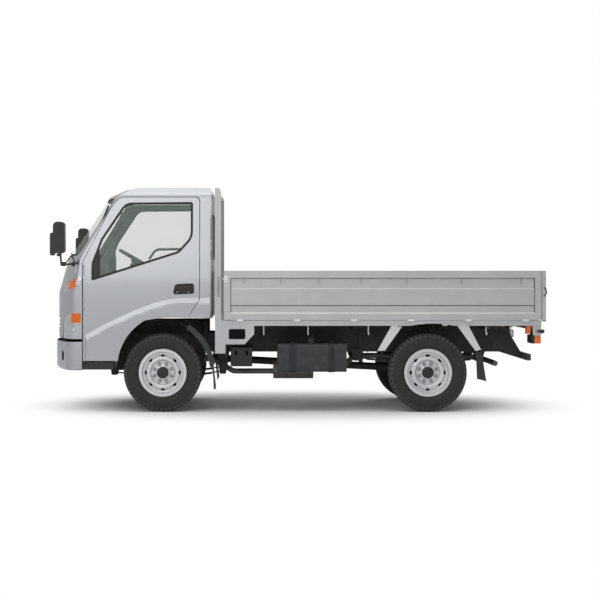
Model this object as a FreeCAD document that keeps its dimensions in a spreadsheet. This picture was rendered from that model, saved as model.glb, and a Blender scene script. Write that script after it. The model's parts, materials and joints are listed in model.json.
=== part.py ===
"""Light cab-over truck with a fixed drop-side flat bed.

Millimetres. The truck faces -X, its left side is -Y and +Z is up. The origin is on the ground,
under the middle of the truck's length. A place along the truck is given as a station, measured
back from the front axle, and at() turns a station into X.
"""
import FreeCAD, Part
import math
import os
import Sketcher

# Driving dimensions, in millimetres and degrees
SIZES = {
    # The whole truck
    "wheelbase": 2500,
    "front_overhang": 1080,
    "rear_overhang": 1112,
    "pin_clearance": 0.3,
    "seat_clearance": 0.3,
    "moving_clearance": 6,
    "overrun": 40,
    # Wheels
    "tyre_radius": 369,
    "tyre_width": 195,
    "tread_width": 150,
    "track": 1400,
    "bead_radius": 203,
    "flange_radius": 225,
    "rim_width": 156,
    "rim_plate": 7,
    "rim_well_radius": 180,
    "disc_crest_radius": 136,
    "disc_plate": 9,
    "disc_face": 34,
    "disc_crest_height": 22,
    "bolt_face_radius": 104,
    "hand_hole_circle": 160,
    "hand_hole_length": 38,
    "hand_hole_width": 22,
    "hand_hole_count": 8,
    "hub_cap_radius": 54,
    "hub_cap_height": 34,
    "hub_radius": 45,
    "drum_radius": 150,
    "drum_depth": 50,
    "drum_plate": 11,
    "spindle_radius": 22,
    # Front axle and steering
    "kingpin_spread": 1270,
    "kingpin_radius": 14,
    "kingpin_boss_radius": 27,
    "kingpin_boss_height": 84,
    "beam_depth": 66,
    "beam_width": 64,
    "beam_web": 18,
    "beam_flange": 14,
    "beam_drop": 118,
    "back_plate_radius": 136,
    "back_plate_thickness": 6,
    "back_plate_setting": 38,
    "steering_arm_length": 136,
    "steering_arm_width": 36,
    "steering_arm_thickness": 18,
    "tie_rod_drop": 40,
    "tie_rod_radius": 13,
    "tie_pin_radius": 9,
    "tie_eye_radius": 21,
    # Rear axle and drive
    "axle_tube_radius": 44,
    "banjo_radius": 148,
    "banjo_width": 190,
    "prop_shaft_radius": 36,
    # Springs
    "spring_spread": 690,
    "spring_width": 60,
    "spring_leaf": 9,
    "front_spring_reach_front": 488,
    "front_spring_reach_rear": 560,
    "front_spring_bend": 3700,
    "rear_spring_reach_front": 640,
    "rear_spring_reach_rear": 541,
    "rear_spring_bend": 9000,
    "spring_eye_radius": 24,
    "hanger_plate": 8,
    # Chassis frame
    "rail_spread": 690,
    "rail_depth": 180,
    "rail_flange": 58,
    "rail_plate": 6,
    "rail_bottom": 545,
    "rail_front": 961,
    "rail_rear": 3345,
    "rail_hole_radius": 22,
    "rail_hole_pitch": 310,
    "rail_hole_count": 10,
    "cross_member_width": 90,
    "cross_member_depth": 110,
    "cross_member_plate": 6,
    # Engine
    "engine_length": 670,
    "engine_width": 520,
    "engine_height": 450,
    "engine_bottom": 400,
    "engine_front": 300,
    # Cab
    "cab_width": 1690,
    "cab_front": 1058,
    "cab_back": 465,
    "cab_roof": 2140,
    "cab_eave": 2050,
    "cab_wall": 42,
    "cab_skirt_bottom": 690,
    "cab_rear_bottom": 886,
    "cab_front_bend": 1900,
    "cab_corner_radius": 130,
    "cab_rear_corner_radius": 60,
    "tumblehome": 78,
    "waist_height": 1240,
    "screen_base_height": 1450,
    "screen_base_setback": 95,
    "screen_rake": 34,
    "header_height": 2040,
    "header_rake": 66,
    "brow_height": 62,
    "brow_rake": 80,
    "nose_height": 1120,
    "side_relief": 3,
    "roof_edge_radius": 110,
    "floor_height": 752,
    "floor_plate": 26,
    "seat_deck_height": 900,
    "seat_deck_front": 330,
    "step_well_inner": 650,
    "step_well_bottom": 402,
    "step_well_front": 742,
    "step_well_rear": 426,
    "step_well_plate": 14,
    "rear_window_width": 1180,
    "rear_window_bottom": 1440,
    "rear_window_top": 1880,
    "window_corner_radius": 60,
    "glass_plate": 6,
    "glass_setting": 6,
    # Doors
    "door_front": 745,
    "door_rear": 348,
    "door_bottom": 486,
    "door_top": 2020,
    "door_gap": 6,
    "door_pin_radius": 4,
    "door_hinge_setting": 8,
    "door_hinge_length": 70,
    "arch_radius": 520,
    "door_slant_setback": 118,
    "door_slant_top": 1064,
    "door_slant_radius": 30,
    "door_foot_drop": 10,
    "door_arch_drop": 2,
    "door_top_radius": 40,
    "door_head_front": 400,
    "door_head_radius": 60,
    "door_brow_station": 478,
    "door_brow_height": 1935,
    "door_pillar_station": 675,
    "door_pillar_height": 1551,
    "door_pillar_radius": 120,
    "door_waist_height": 1410,
    "hinge_low": 980,
    "hinge_high": 1300,
    "hinge_lug": 8,
    "hinge_lug_play": 3,
    "hinge_lug_back": 24,
    "hinge_lug_out": 3,
    "hinge_lug_in": 5,
    # Side window
    "window_front": 664,
    "window_bottom": 1234,
    "window_foot_radius": 16,
    "window_sill_station": 158,
    "window_sill_height": 1495,
    "window_sill_radius": 120,
    "window_rear": 287,
    "window_rear_height": 1640,
    "window_rear_radius": 160,
    "window_top": 1977,
    "window_top_radius": 22,
    "window_head_station": 350,
    "window_head_drop": 5,
    "window_pillar_station": 577,
    "window_pillar_height": 1631,
    "window_pillar_radius": 60,
    "window_nose_height": 1400,
    # Windscreen
    "screen_border": 22,
    "screen_foot_setting": 88,
    "screen_head_setting": 150,
    "screen_radius": 70,
    "cut_front": 1300,
    "nose_cut_rear": 860,
    "screen_cut_rear": 250,
    "rear_cut_depth": 120,
    # Crease along the cab's side and the flare below it
    "flare_depth": 12,
    "flare_slope": 45,
    "flare_front": 722,
    "flare_end": 14,
    "flare_root": 20,
    "crease_front_height": 727,
    "crease_rise_station": 351,
    "crease_rise_height": 920,
    "crease_knee_station": 82,
    "crease_knee_height": 1028,
    "crease_turn_station": 90,
    "crease_turn_height": 1066,
    "crease_rear_station": 349,
    "crease_rear_height": 1075,
    "crease_back_height": 1081,
    # Door handle's recess
    "handle_front": 96,
    "handle_rear": 301,
    "handle_bottom": 1106,
    "handle_top": 1212,
    "handle_slant": 26,
    "handle_drop": 8,
    "handle_radius": 24,
    "handle_depth": 20,
    # Mirrors and their stays
    "mirror_stay_radius": 9,
    "mirror_foot_station": 785,
    "mirror_foot_setting": 45,
    "mirror_foot_height": 1400,
    "mirror_foot_half": 26,
    "mirror_foot_radius": 16,
    "mirror_reach": 150,
    "mirror_stem_setting": 40,
    "mirror_knee_station": 930,
    "mirror_knee_height": 1385,
    "mirror_stem_station": 955,
    "mirror_stem_top": 1700,
    "mirror_front": 1000,
    "mirror_rear": 890,
    "mirror_bottom": 1490,
    "mirror_top": 1783,
    "mirror_radius": 40,
    "mirror_out": 30,
    "mirror_in": 62,
    "small_mirror_front": 1028,
    "small_mirror_rear": 985,
    "small_mirror_bottom": 1470,
    "small_mirror_top": 1682,
    "small_mirror_radius": 20,
    "small_mirror_in": 42,
    # Wipers
    "wiper_left_y": 520,
    "wiper_right_y": 90,
    "wiper_length": 430,
    "wiper_low": 34,
    "wiper_high": 54,
    "wiper_pivot_drop": 12,
    "wiper_proud": 16,
    "wiper_radius": 6,
    "wiper_pivot_radius": 9,
    "wiper_pivot_depth": 30,
    "wiper_pivot_proud": 20,
    # Cabin
    "seat_inner": 60,
    "driver_seat_outer": 620,
    "passenger_seat_outer": 640,
    "cushion_front": 250,
    "cushion_rear": 250,
    "cushion_slope": 20,
    "cushion_rear_height": 120,
    "cushion_front_height": 150,
    "cushion_radius": 30,
    "cushion_front_radius": 50,
    "cushion_foot_radius": 20,
    "backrest_front": 190,
    "backrest_rear": 285,
    "backrest_head_front": 290,
    "backrest_head_rear": 370,
    "backrest_foot": 125,
    "backrest_heel": 100,
    "backrest_height": 590,
    "backrest_rear_height": 560,
    "dash_front": 940,
    "dash_foot_station": 760,
    "dash_rear": 640,
    "dash_foot": 250,
    "dash_knee_height": 1230,
    "dash_rear_height": 1400,
    "dash_front_height": 1425,
    "dash_radius": 50,
    "dash_setting": 130,
    "steering_station": 339,
    "steering_y": 370,
    "steering_height": 1447,
    "steering_radius": 190,
    "steering_grip": 14,
    "steering_tilt": 60,
    "steering_hub_radius": 42,
    "steering_hub_front": 10,
    "steering_hub_rear": 40,
    "steering_spoke_setting": 12,
    "steering_spoke_radius": 10,
    "column_start": 30,
    "column_length": 900,
    "column_radius": 26,
    # Lamps in the cab's corners
    "lamp_rear": 762,
    "lamp_front": 955,
    "headlamp_bottom": 690,
    "headlamp_top": 930,
    "headlamp_round_station": 862,
    "headlamp_bend_station": 922,
    "headlamp_bend_height": 894,
    "headlamp_front_height": 815,
    "headlamp_inner": 580,
    "corner_lamp_inner": 660,
    "corner_lamp_low_front": 1128,
    "corner_lamp_low_rear": 1195,
    "corner_lamp_high_front": 1203,
    "corner_lamp_high_rear": 1279,
    "lamp_corner_radius": 8,
    # Front panel and its grille
    "front_panel_half": 600,
    "front_panel_bottom": 745,
    "front_panel_top": 1400,
    "front_panel_low_radius": 30,
    "front_panel_high_radius": 60,
    "grille_half": 430,
    "grille_bottom": 776,
    "grille_slot": 24,
    "grille_pitch": 38,
    "grille_slot_count": 3,
    "grille_depth": 14,
    "grille_radius": 11,
    # Cab tilt hinge
    "tilt_hinge_station": 950,
    "tilt_hinge_height": 700,
    "tilt_tube_radius": 18,
    "tilt_lug_radius": 32,
    "tilt_lug_width": 28,
    "tilt_lug_spread": 790,
    # Bumper
    "bumper_top": 662,
    "bumper_bottom": 395,
    "bumper_rear": 751,
    "bumper_plate": 5,
    "bumper_edge_radius": 32,
    "bumper_top_radius": 7,
    "bumper_floor": 10,
    "bumper_arm_setting": 30,
    "bumper_arm_width": 50,
    "bumper_arm_depth": 55,
    "intake_half": 330,
    "intake_bottom": 448,
    "intake_top": 520,
    "intake_radius": 26,
    "fog_recess_spread": 1360,
    "fog_recess_width": 96,
    "fog_recess_bottom": 480,
    "fog_recess_top": 571,
    "fog_recess_radius": 34,
    # Bed
    "bed_front": 495,
    "bed_width": 1648,
    "bed_floor_top": 862,
    "bed_floor_plate": 28,
    "bed_sill_depth": 49,
    "bed_sill_width": 44,
    "bed_main_sill_width": 60,
    "bed_cross_sill_width": 50,
    "bed_cross_sill_count": 8,
    "gate_front": 577,
    "gate_rear": 3557,
    "gate_bottom": 868,
    "gate_height": 462,
    "gate_thickness": 36,
    "gate_spread": 1664,
    "gate_stile": 62,
    "gate_hinge_setting": 4,
    "gate_pin_radius": 5,
    "gate_knuckle_radius": 9,
    "gate_lug_radius": 7,
    "gate_hinge_length": 80,
    "tail_gate_front": 3563,
    # A gate's section: how deep each band lies below the outer face, and where it ends
    "gate_foot_height": 56,
    "gate_foot_slope_height": 62,
    "gate_low_band_height": 132,
    "gate_panel_height": 140,
    "gate_panel_top": 290,
    "gate_high_band_height": 300,
    "gate_high_band_drop": 76,
    "gate_rail_drop": 66,
    "gate_low_band_depth": 9,
    "gate_panel_depth": 5,
    "gate_high_band_depth": 12,
    "gate_hinge_drop": 8,
    "gate_hinge_play": 12,
    "gate_lug_length": 10,
    "gate_leaf_outside": 6,
    "gate_leaf_inside": 12,
    "gate_lug_root": 5,
    "bed_main_sill_depth": 52,
    "bed_main_sill_overlap": 10,
    "cross_sill_setting": 2,
    "cross_sill_taper": 120,
    # Brackets at the bed's corners and the hollow over the rear wheels
    "corner_plate": 6,
    "corner_plate_rear": 862,
    "corner_plate_bottom": 639,
    "corner_plate_cut_station": 772,
    "corner_plate_cut_height": 735,
    "corner_window_front": 623,
    "corner_window_rear": 779,
    "corner_window_bottom": 687,
    "corner_window_top": 783,
    "corner_window_radius": 14,
    "foot_plate_rear": 593,
    "foot_plate_bottom": 553,
    "foot_plate_overlap": 10,
    "tail_plate_front": 3479,
    "tail_plate_bottom": 725,
    "tail_plate_setting": 8,
    "sill_hollow_front": 2330,
    "sill_hollow_rear": 2738,
    "sill_hollow_depth": 21,
    # Guard frame behind the cab
    "post_front": 493,
    "post_depth": 58,
    "post_width": 52,
    "guard_top": 2106,
    "guard_bar": 34,
    "guard_chamfer_rise": 40,
    "guard_chamfer_run": 14,
    "guard_rail_height": 50,
    "guard_middle_bottom": 1290,
    "guard_middle_top": 1330,
    "head_board": 22,
    "head_board_setting": 6,
    "head_board_top": 1300,
    "guard_upright_width": 26,
    "guard_upright_setting": 4,
    "guard_upright_low": 1320,
    # Tank, battery, exhaust
    "tank_front": 1083,
    "tank_rear": 1733,
    "tank_bottom": 376,
    "tank_top": 649,
    "tank_inner": 430,
    "tank_outer": 790,
    "tank_edge_radius": 40,
    "tank_strap_width": 60,
    "tank_strap_plate": 4,
    "battery_front": 641,
    "battery_rear": 844,
    "battery_bottom": 428,
    "battery_top": 606,
    "battery_inner": 430,
    "battery_outer": 760,
    "muffler_radius": 92,
    "muffler_length": 390,
    "muffler_front": 1050,
    "muffler_height": 370,
    "pipe_radius": 26,
    "pipe_y": 235,
    "front_pipe_start": 470,
    "front_pipe_level": 350,
    "front_pipe_run": 90,
    "front_pipe_bend_station": 660,
    "tank_bracket_half": 25,
    "tank_bracket_bottom": 555,
    "tank_bracket_top": 640,
    "filler_station": 1399,
    "filler_radius": 34,
    "filler_foot_setting": 60,
    "filler_head_setting": 20,
    "filler_rise": 60,
    "bracket_overlap": 5,
    "battery_bracket_setting": 10,
    "battery_bracket_bottom": 560,
    "battery_bracket_top": 600,
    "pipe_overlap": 10,
    "pipe_lift_station": 1700,
    "pipe_over_station": 1850,
    "pipe_over_height": 500,
    "pipe_over_y": 190,
    "pipe_drop_station": 2900,
    "pipe_turn_station": 3100,
    "pipe_turn_y": 250,
    "pipe_turn_height": 470,
    "pipe_end_station": 3180,
    "pipe_end_y": 500,
    "pipe_end_height": 440,
    "muffler_hanger_station": 1300,
    "pipe_hanger_station": 2890,
    "hanger_radius": 8,
    # Guards and tail
    "guard_plate": 5,
    "front_guard_radius": 512,
    "rear_guard_radius": 486,
    "underrun_height": 514,
    "underrun_bar": 60,
    "underrun_depth": 36,
    "underrun_station": 3470,
    "underrun_setting": 60,
    "underrun_arm": 8,
    "underrun_arm_run": 120,
    "underrun_arm_top": 720,
    "underrun_arm_bottom": 560,
    "underrun_arm_end": 20,
    "underrun_arm_half": 30,
    "flap_plate": 6,
    "front_guard_outer": 60,
    "front_guard_inner": 70,
    "front_guard_shift": 44,
    "front_guard_drop": 2,
    "front_guard_bracket": 26,
    "guard_bracket_bottom": 560,
    "guard_bracket_top": 600,
    "rear_guard_setback": 19,
    "rear_guard_outer": 26,
    "rear_guard_inner": 10,
    "stay_low": 577,
    "front_stay_top_front": 2152,
    "front_stay_top_rear": 2258,
    "front_stay_low_front": 2020,
    "front_stay_low_rear": 2090,
    "rear_stay_top_front": 2770,
    "rear_stay_top_rear": 2878,
    "rear_stay_low_front": 2942,
    "rear_stay_low_rear": 3000,
    "front_flap_top_station": 468,
    "front_flap_top": 424,
    "front_flap_low_station": 492,
    "front_flap_low": 216,
    "rear_flap_top_station": 2992,
    "rear_flap_top": 600,
    "rear_flap_low_station": 3042,
    "rear_flap_low": 289,
    "tail_lamp_front": 3472,
    "tail_lamp_rear": 3556,
    "tail_lamp_bottom": 645,
    "tail_lamp_top": 722,
    "tail_lamp_setting": 20,
    "tail_lamp_width": 240,
    "tail_lamp_stem_setting": 104,
    "tail_lamp_stem_width": 96,
    "tail_lamp_stem_front": 3484,
    "tail_lamp_stem_rear": 3508,
    "marker_front": 3420,
    "marker_rear": 3462,
    "marker_bottom": 736,
    "marker_setting": 26,
    "marker_width": 60,
}

doc = FreeCAD.newDocument("drop_side_truck")
sheet = doc.addObject("Spreadsheet::Sheet", "sizes")
for row, (alias, amount) in enumerate(SIZES.items(), 1):
    sheet.set(f"A{row}", alias)
    sheet.set(f"B{row}", str(amount))
    sheet.setAlias(f"B{row}", alias)
doc.recompute()


class Size:
    """Reads a driving dimension from the sheet by its alias."""

    def __getattr__(self, alias):
        return float(sheet.get(alias))


size = Size()
LEFT, RIGHT = -1, 1
SIDES = {"left": LEFT, "right": RIGHT}
BEND = "bend"
# Turns in degrees of the guards' ends and middles round their wheels, from the rear level up
FRONT_GUARD_ANGLES = (66, 36, 5)
REAR_GUARD_ANGLES = ((166, 148, 128), (52, 36, 20))
# Where things stand along their carriers, as shares of the carrier's length
STRAP_SHARES = (0.22, 0.78)
# How far a front guard's outer face stands off, across and up, as shares of its plate
FRONT_GUARD_SHARES = (0.8, 0.6)
front_axle_x = (size.front_overhang - size.wheelbase - size.rear_overhang) / 2
cab_half = size.cab_width / 2
pieces = {}


def at(station):
    return front_axle_x + station


def spot(x=0.0, y=0.0, z=0.0):
    return FreeCAD.Vector(x, y, z)


# Shapes


def place_on(plane, across, up, level):
    """A point of an outline: XZ is seen from the side, YZ from the front, XY from above."""
    return {
        "XZ": spot(across, level, up),
        "YZ": spot(level, across, up),
        "XY": spot(across, up, level),
    }[plane]


def outline(corners, plane, level=0.0):
    """A closed wire. A corner is (across, up), (across, up, radius) or (across, up, BEND),
    which is the middle of an arc between its two neighbours."""
    points = [place_on(plane, c[0], c[1], level) for c in corners]
    kinds = [c[2] if len(c) > 2 else 0 for c in corners]
    total = len(corners)
    arrive, leave, rounds = list(points), list(points), {}
    for i, kind in enumerate(kinds):
        if kind == BEND or not kind:
            continue
        corner = points[i]
        back = (points[i - 1] - corner).normalize()
        ahead = (points[(i + 1) % total] - corner).normalize()
        half = back.getAngle(ahead) / 2
        arrive[i] = corner + back * (kind / math.tan(half))
        leave[i] = corner + ahead * (kind / math.tan(half))
        centre = corner + (back + ahead).normalize() * (kind / math.sin(half))
        rounds[i] = centre + (corner - centre).normalize() * kind
    edges = []
    for i in range(total):
        if kinds[i] == BEND:
            continue
        if i in rounds:
            edges.append(Part.Arc(arrive[i], rounds[i], leave[i]).toShape())
        following = (i + 1) % total
        if kinds[following] == BEND:
            end = arrive[(i + 2) % total]
            edges.append(Part.Arc(leave[i], points[following], end).toShape())
        elif leave[i].distanceToPoint(arrive[following]) > 1e-6:
            edges.append(Part.LineSegment(leave[i], arrive[following]).toShape())
    return Part.Wire(edges)


def slab(corners, plane, start, end):
    """The solid of an outline between two levels along its plane's normal."""
    run = place_on(plane, 0, 0, end - start)
    return Part.Face(outline(corners, plane, start)).extrude(run)


def block(x0, x1, y0, y1, z0, z1):
    return Part.makeBox(x1 - x0, y1 - y0, z1 - z0, spot(x0, y0, z0))


def rod(start, end, radius):
    run = end - start
    return Part.makeCylinder(radius, run.Length, start, run)


def pipe(points, radius, bend):
    """A round bar or tube through points, its corners bent to one radius."""
    edges, start = [], points[0]
    for before, corner, after in zip(points, points[1:], points[2:]):
        back, ahead = (before - corner).normalize(), (after - corner).normalize()
        half = back.getAngle(ahead) / 2
        enter = corner + back * (bend / math.tan(half))
        leave = corner + ahead * (bend / math.tan(half))
        centre = corner + (back + ahead).normalize() * (bend / math.sin(half))
        middle = centre + (corner - centre).normalize() * bend
        edges.append(Part.LineSegment(start, enter).toShape())
        edges.append(Part.Arc(enter, middle, leave).toShape())
        start = leave
    edges.append(Part.LineSegment(start, points[-1]).toShape())
    section = Part.Wire(Part.Circle(points[0], points[1] - points[0], radius).toShape())
    return Part.Wire(edges).makePipeShell([section], True, True)


def fused(shapes):
    first, *others = shapes
    return first.fuse(others).removeSplitter() if others else first


def other_side(shape):
    return shape.mirror(spot(), spot(0, 1, 0))


def both_sides(shape):
    return [shape, other_side(shape)]


def on_side(shape, side):
    """A shape modelled on the left, or its mirror image for the right."""
    return shape if side == LEFT else other_side(shape)


# Document objects


def keep(label, shape):
    """A sub-part whose shape is worked out from the sheet's sizes."""
    item = doc.addObject("Part::Feature", label)
    item.Shape = shape
    item.Label = label
    item.Placement = FreeCAD.Placement()
    pieces[label] = item
    return item


def tie(item, **rules):
    """Binds properties to the sheet; a rule starts with an alias, such as track / 2."""
    for name, rule in rules.items():
        item.setExpression(name.replace("_of_", "."), f"sizes.{rule}")
    return item


def body_sketch(body, name, role, corners):
    """A sketch of straight runs on one of the body's own planes. Each corner is a pair of
    expressions, and each is bound to the sheet."""
    sketch = body.newObject("Sketcher::SketchObject", name)
    plane = next(f for f in body.Origin.OriginFeatures if f.Role == role)
    sketch.AttachmentSupport = [(plane, "")]
    sketch.MapMode = "FlatFace"
    total = len(corners)
    ring = [math.radians(360 * i / total) for i in range(total)]
    starts = [spot(100 * math.cos(a), 100 * math.sin(a)) for a in ring]
    for i in range(total):
        sketch.addGeometry(Part.LineSegment(starts[i], starts[(i + 1) % total]), False)
    for i in range(total):
        sketch.addConstraint(Sketcher.Constraint("Coincident", i, 2, (i + 1) % total, 1))
    for i, corner in enumerate(corners):
        for kind, rule in zip(("DistanceX", "DistanceY"), corner):
            count = sketch.addConstraint(Sketcher.Constraint(kind, -1, 1, i, 1, 1.0))
            sketch.setExpression(f"Constraints[{count}]", rule)
    return sketch


def new_body(label):
    body = doc.addObject("PartDesign::Body", label)
    body.Label = label
    pieces[label] = body
    return body


# Wheels


def wheel_places():
    """Name, station and side of each wheel."""
    return [
        (f"{end}_{side}", station, sign)
        for end, station in (("front", 0), ("rear", size.wheelbase))
        for side, sign in SIDES.items()
    ]


def set_at_wheel(body, station, side):
    turn = FreeCAD.Rotation(spot(0, 0, 1), 0 if side == LEFT else 180)
    centre = spot(at(station), side * size.track / 2, size.tyre_radius)
    body.Placement = FreeCAD.Placement(centre, turn)


def tyre(name, station, side):
    """A tyre turned about its own Y axis: tread, shoulders, side walls and beads."""
    body = new_body(f"{name}_tyre")
    half, tread = "sizes.tyre_width / 2", "sizes.tread_width / 2"
    bead = "sizes.rim_width / 2 - sizes.rim_plate"
    top, shoulder = "sizes.tyre_radius", "sizes.tyre_radius - 14"
    wall = "(sizes.tyre_radius + sizes.bead_radius) / 2"
    lip = "sizes.flange_radius + sizes.seat_clearance"
    base = "sizes.bead_radius + sizes.seat_clearance"
    side_walls = [
        (bead, base),
        (bead, lip),
        (f"{half} - 9", f"{lip} + 14"),
        (half, wall),
        (f"{half} - 5", f"{shoulder} - 16"),
        (f"{tread} + 8", shoulder),
        (tread, top),
    ]
    opposite = [(f"-({u})", v) for u, v in reversed(side_walls)]
    sketch = body_sketch(body, f"{name}_tyre_section", "YZ_Plane", side_walls + opposite)
    turned = body.newObject("PartDesign::Revolution", f"{name}_tyre_turned")
    turned.Profile = sketch
    turned.ReferenceAxis = (sketch, ["H_Axis"])
    turned.Angle = 360
    set_at_wheel(body, station, side)


def rim(name, station, side):
    """A steel rim with its dished disc, hub, cap and brake drum. -Y is outwards."""
    body = new_body(f"{name}_rim")
    edge, plate = "sizes.rim_width / 2", "sizes.rim_plate"
    bead, well = "sizes.bead_radius", "sizes.rim_well_radius"
    face, crest = "sizes.disc_face", "(sizes.disc_face + sizes.disc_crest_height)"
    bolt, top = "sizes.bolt_face_radius", "sizes.disc_crest_radius"
    cap = "sizes.hub_cap_radius"
    section = [
        (f"-({edge})", "sizes.flange_radius"),
        (f"-({edge} - {plate})", f"{bead}"),
        ("-34", bead),
        ("-22", well),
        ("22", well),
        ("34", bead),
        (f"{edge} - {plate}", bead),
        (edge, "sizes.flange_radius"),
        (edge, f"{bead} - {plate}"),
        (f"34 + {plate} / 2", f"{bead} - {plate}"),
        (f"22 + {plate} / 2", f"{well} - {plate}"),
        ("-24", f"{well} - {plate}"),
        (f"-({crest} - sizes.disc_plate - 4)", f"{top} + 12"),
        (f"-({crest} - sizes.disc_plate)", top),
        (f"-({face} - sizes.disc_plate)", f"{bolt} - 8"),
        (f"-({face} - sizes.disc_plate)", "0"),
        (f"-({face} + sizes.hub_cap_height)", "0"),
        (f"-({face} + sizes.hub_cap_height)", f"{cap} - 12"),
        (f"-({face} + sizes.hub_cap_height - 8)", cap),
        (f"-({face})", cap),
        (f"-({face})", bolt),
        (f"-({crest} - 4)", f"{top} - 14"),
        (f"-({crest})", top),
        (f"-({crest} - 5)", f"{top} + 16"),
        ("-34", f"{well} - {plate}"),
        ("-42", f"{bead} - {plate}"),
        (f"-({edge})", f"{bead} - {plate}"),
    ]
    sketch = body_sketch(body, f"{name}_rim_section", "YZ_Plane", section)
    turned = body.newObject("PartDesign::Revolution", f"{name}_rim_turned")
    turned.Profile = sketch
    turned.ReferenceAxis = (sketch, ["H_Axis"])
    turned.Angle = 360
    doc.recompute()
    # Hand holes round the disc
    hole = body.newObject("Sketcher::SketchObject", f"{name}_hand_hole_outline")
    plane = next(f for f in body.Origin.OriginFeatures if f.Role == "XZ_Plane")
    hole.AttachmentSupport = [(plane, "")]
    hole.MapMode = "FlatFace"
    reach = (size.hand_hole_length - size.hand_hole_width) / 2
    radius, circle = size.hand_hole_width / 2, size.hand_hole_circle
    for sign in (1, -1):
        centre = spot(sign * reach, circle)
        angles = (-math.pi / 2, math.pi / 2) if sign > 0 else (math.pi / 2, 3 * math.pi / 2)
        ring = Part.Circle(centre, spot(0, 0, 1), radius)
        hole.addGeometry(Part.ArcOfCircle(ring, *angles), False)
        level = circle + sign * radius
        hole.addGeometry(Part.LineSegment(spot(-reach, level), spot(reach, level)), False)
    cut = body.newObject("PartDesign::Pocket", f"{name}_hand_hole")
    cut.Profile = hole
    cut.Type = "ThroughAll"
    cut.Reversed = False
    before = turned.Shape.Volume
    doc.recompute()
    if abs(cut.Shape.Volume - before) < 1:
        cut.Reversed = True
        doc.recompute()
    ring = body.newObject("PartDesign::PolarPattern", f"{name}_hand_holes")
    ring.Originals = [cut]
    ring.Axis = (next(f for f in body.Origin.OriginFeatures if f.Role == "Y_Axis"), [""])
    ring.Angle = 360
    tie(ring, Occurrences="hand_hole_count")
    body.Tip = ring
    doc.recompute()
    # Hub and drum behind the disc
    back = f"-({face} - sizes.disc_plate)"
    drum, drum_wall = "sizes.drum_radius", "sizes.drum_radius - sizes.drum_plate"
    bore = "sizes.spindle_radius + sizes.pin_clearance"
    hub_section = [
        (f"{back} - 4", bore),
        (f"{back} - 4", f"{bolt} - 20"),
        (back, f"{bolt} - 20"),
        (f"{back} + 2", drum),
        (f"{back} + sizes.drum_depth", drum),
        (f"{back} + sizes.drum_depth", drum_wall),
        (f"{back} + sizes.drum_plate", drum_wall),
        (f"{back} + sizes.drum_plate", "sizes.hub_radius"),
        (f"{back} + sizes.drum_depth - 8", "sizes.hub_radius"),
        (f"{back} + sizes.drum_depth - 8", bore),
    ]
    hub = body_sketch(body, f"{name}_hub_section", "YZ_Plane", hub_section)
    hub_turned = body.newObject("PartDesign::Revolution", f"{name}_hub_turned")
    hub_turned.Profile = hub
    hub_turned.ReferenceAxis = (hub, ["H_Axis"])
    hub_turned.Angle = 360
    body.Tip = hub_turned
    set_at_wheel(body, station, side)


# Front axle and steering


def axle_beam():
    """The dropped I-beam with its kingpin bosses and pins."""
    pin_y, drop = size.kingpin_spread / 2, size.beam_drop
    half, deep = size.beam_width / 2, size.beam_depth / 2
    axle_z, low_z = size.tyre_radius, size.tyre_radius - drop
    seat_y = size.spring_spread / 2 + size.spring_width
    ends = [
        (-pin_y, axle_z + deep * 0.8),
        (-pin_y + 70, axle_z + deep * 0.8),
        (-seat_y, low_z + deep, 40),
        (seat_y, low_z + deep, 40),
        (pin_y - 70, axle_z + deep * 0.8),
        (pin_y, axle_z + deep * 0.8),
        (pin_y, axle_z - deep * 0.8),
        (pin_y - 90, axle_z - deep * 0.8),
        (seat_y + 20, low_z - deep, 40),
        (-seat_y - 20, low_z - deep, 40),
        (-pin_y + 90, axle_z - deep * 0.8),
        (-pin_y, axle_z - deep * 0.8),
    ]
    x = at(0)
    beam = slab(ends, "YZ", x - half, x + half)
    web = (size.beam_width - size.beam_web) / 2
    pocket = [
        (-seat_y, low_z + deep - size.beam_flange),
        (seat_y, low_z + deep - size.beam_flange),
        (seat_y, low_z - deep + size.beam_flange),
        (-seat_y, low_z - deep + size.beam_flange),
    ]
    beam = beam.cut([slab(pocket, "YZ", x - half, x - half + web),
                     slab(pocket, "YZ", x + half - web, x + half)])
    made = [beam]
    for side in SIDES.values():
        foot = spot(x, side * pin_y, axle_z - size.kingpin_boss_height / 2)
        top = foot + spot(0, 0, size.kingpin_boss_height)
        made.append(rod(foot, top, size.kingpin_boss_radius))
        ext = spot(0, 0, 34)
        made.append(rod(foot - ext, top + ext, size.kingpin_radius))
    # The boss ends the beam
    shape = fused(made)
    for side in SIDES.values():
        limit = side * (pin_y + size.kingpin_boss_radius)
        lo, hi = sorted((limit, limit + side * size.overrun))
        shape = shape.cut(block(x - 200, x + 200, lo, hi, 0, 900))
    keep("front_axle_beam", shape)


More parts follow.
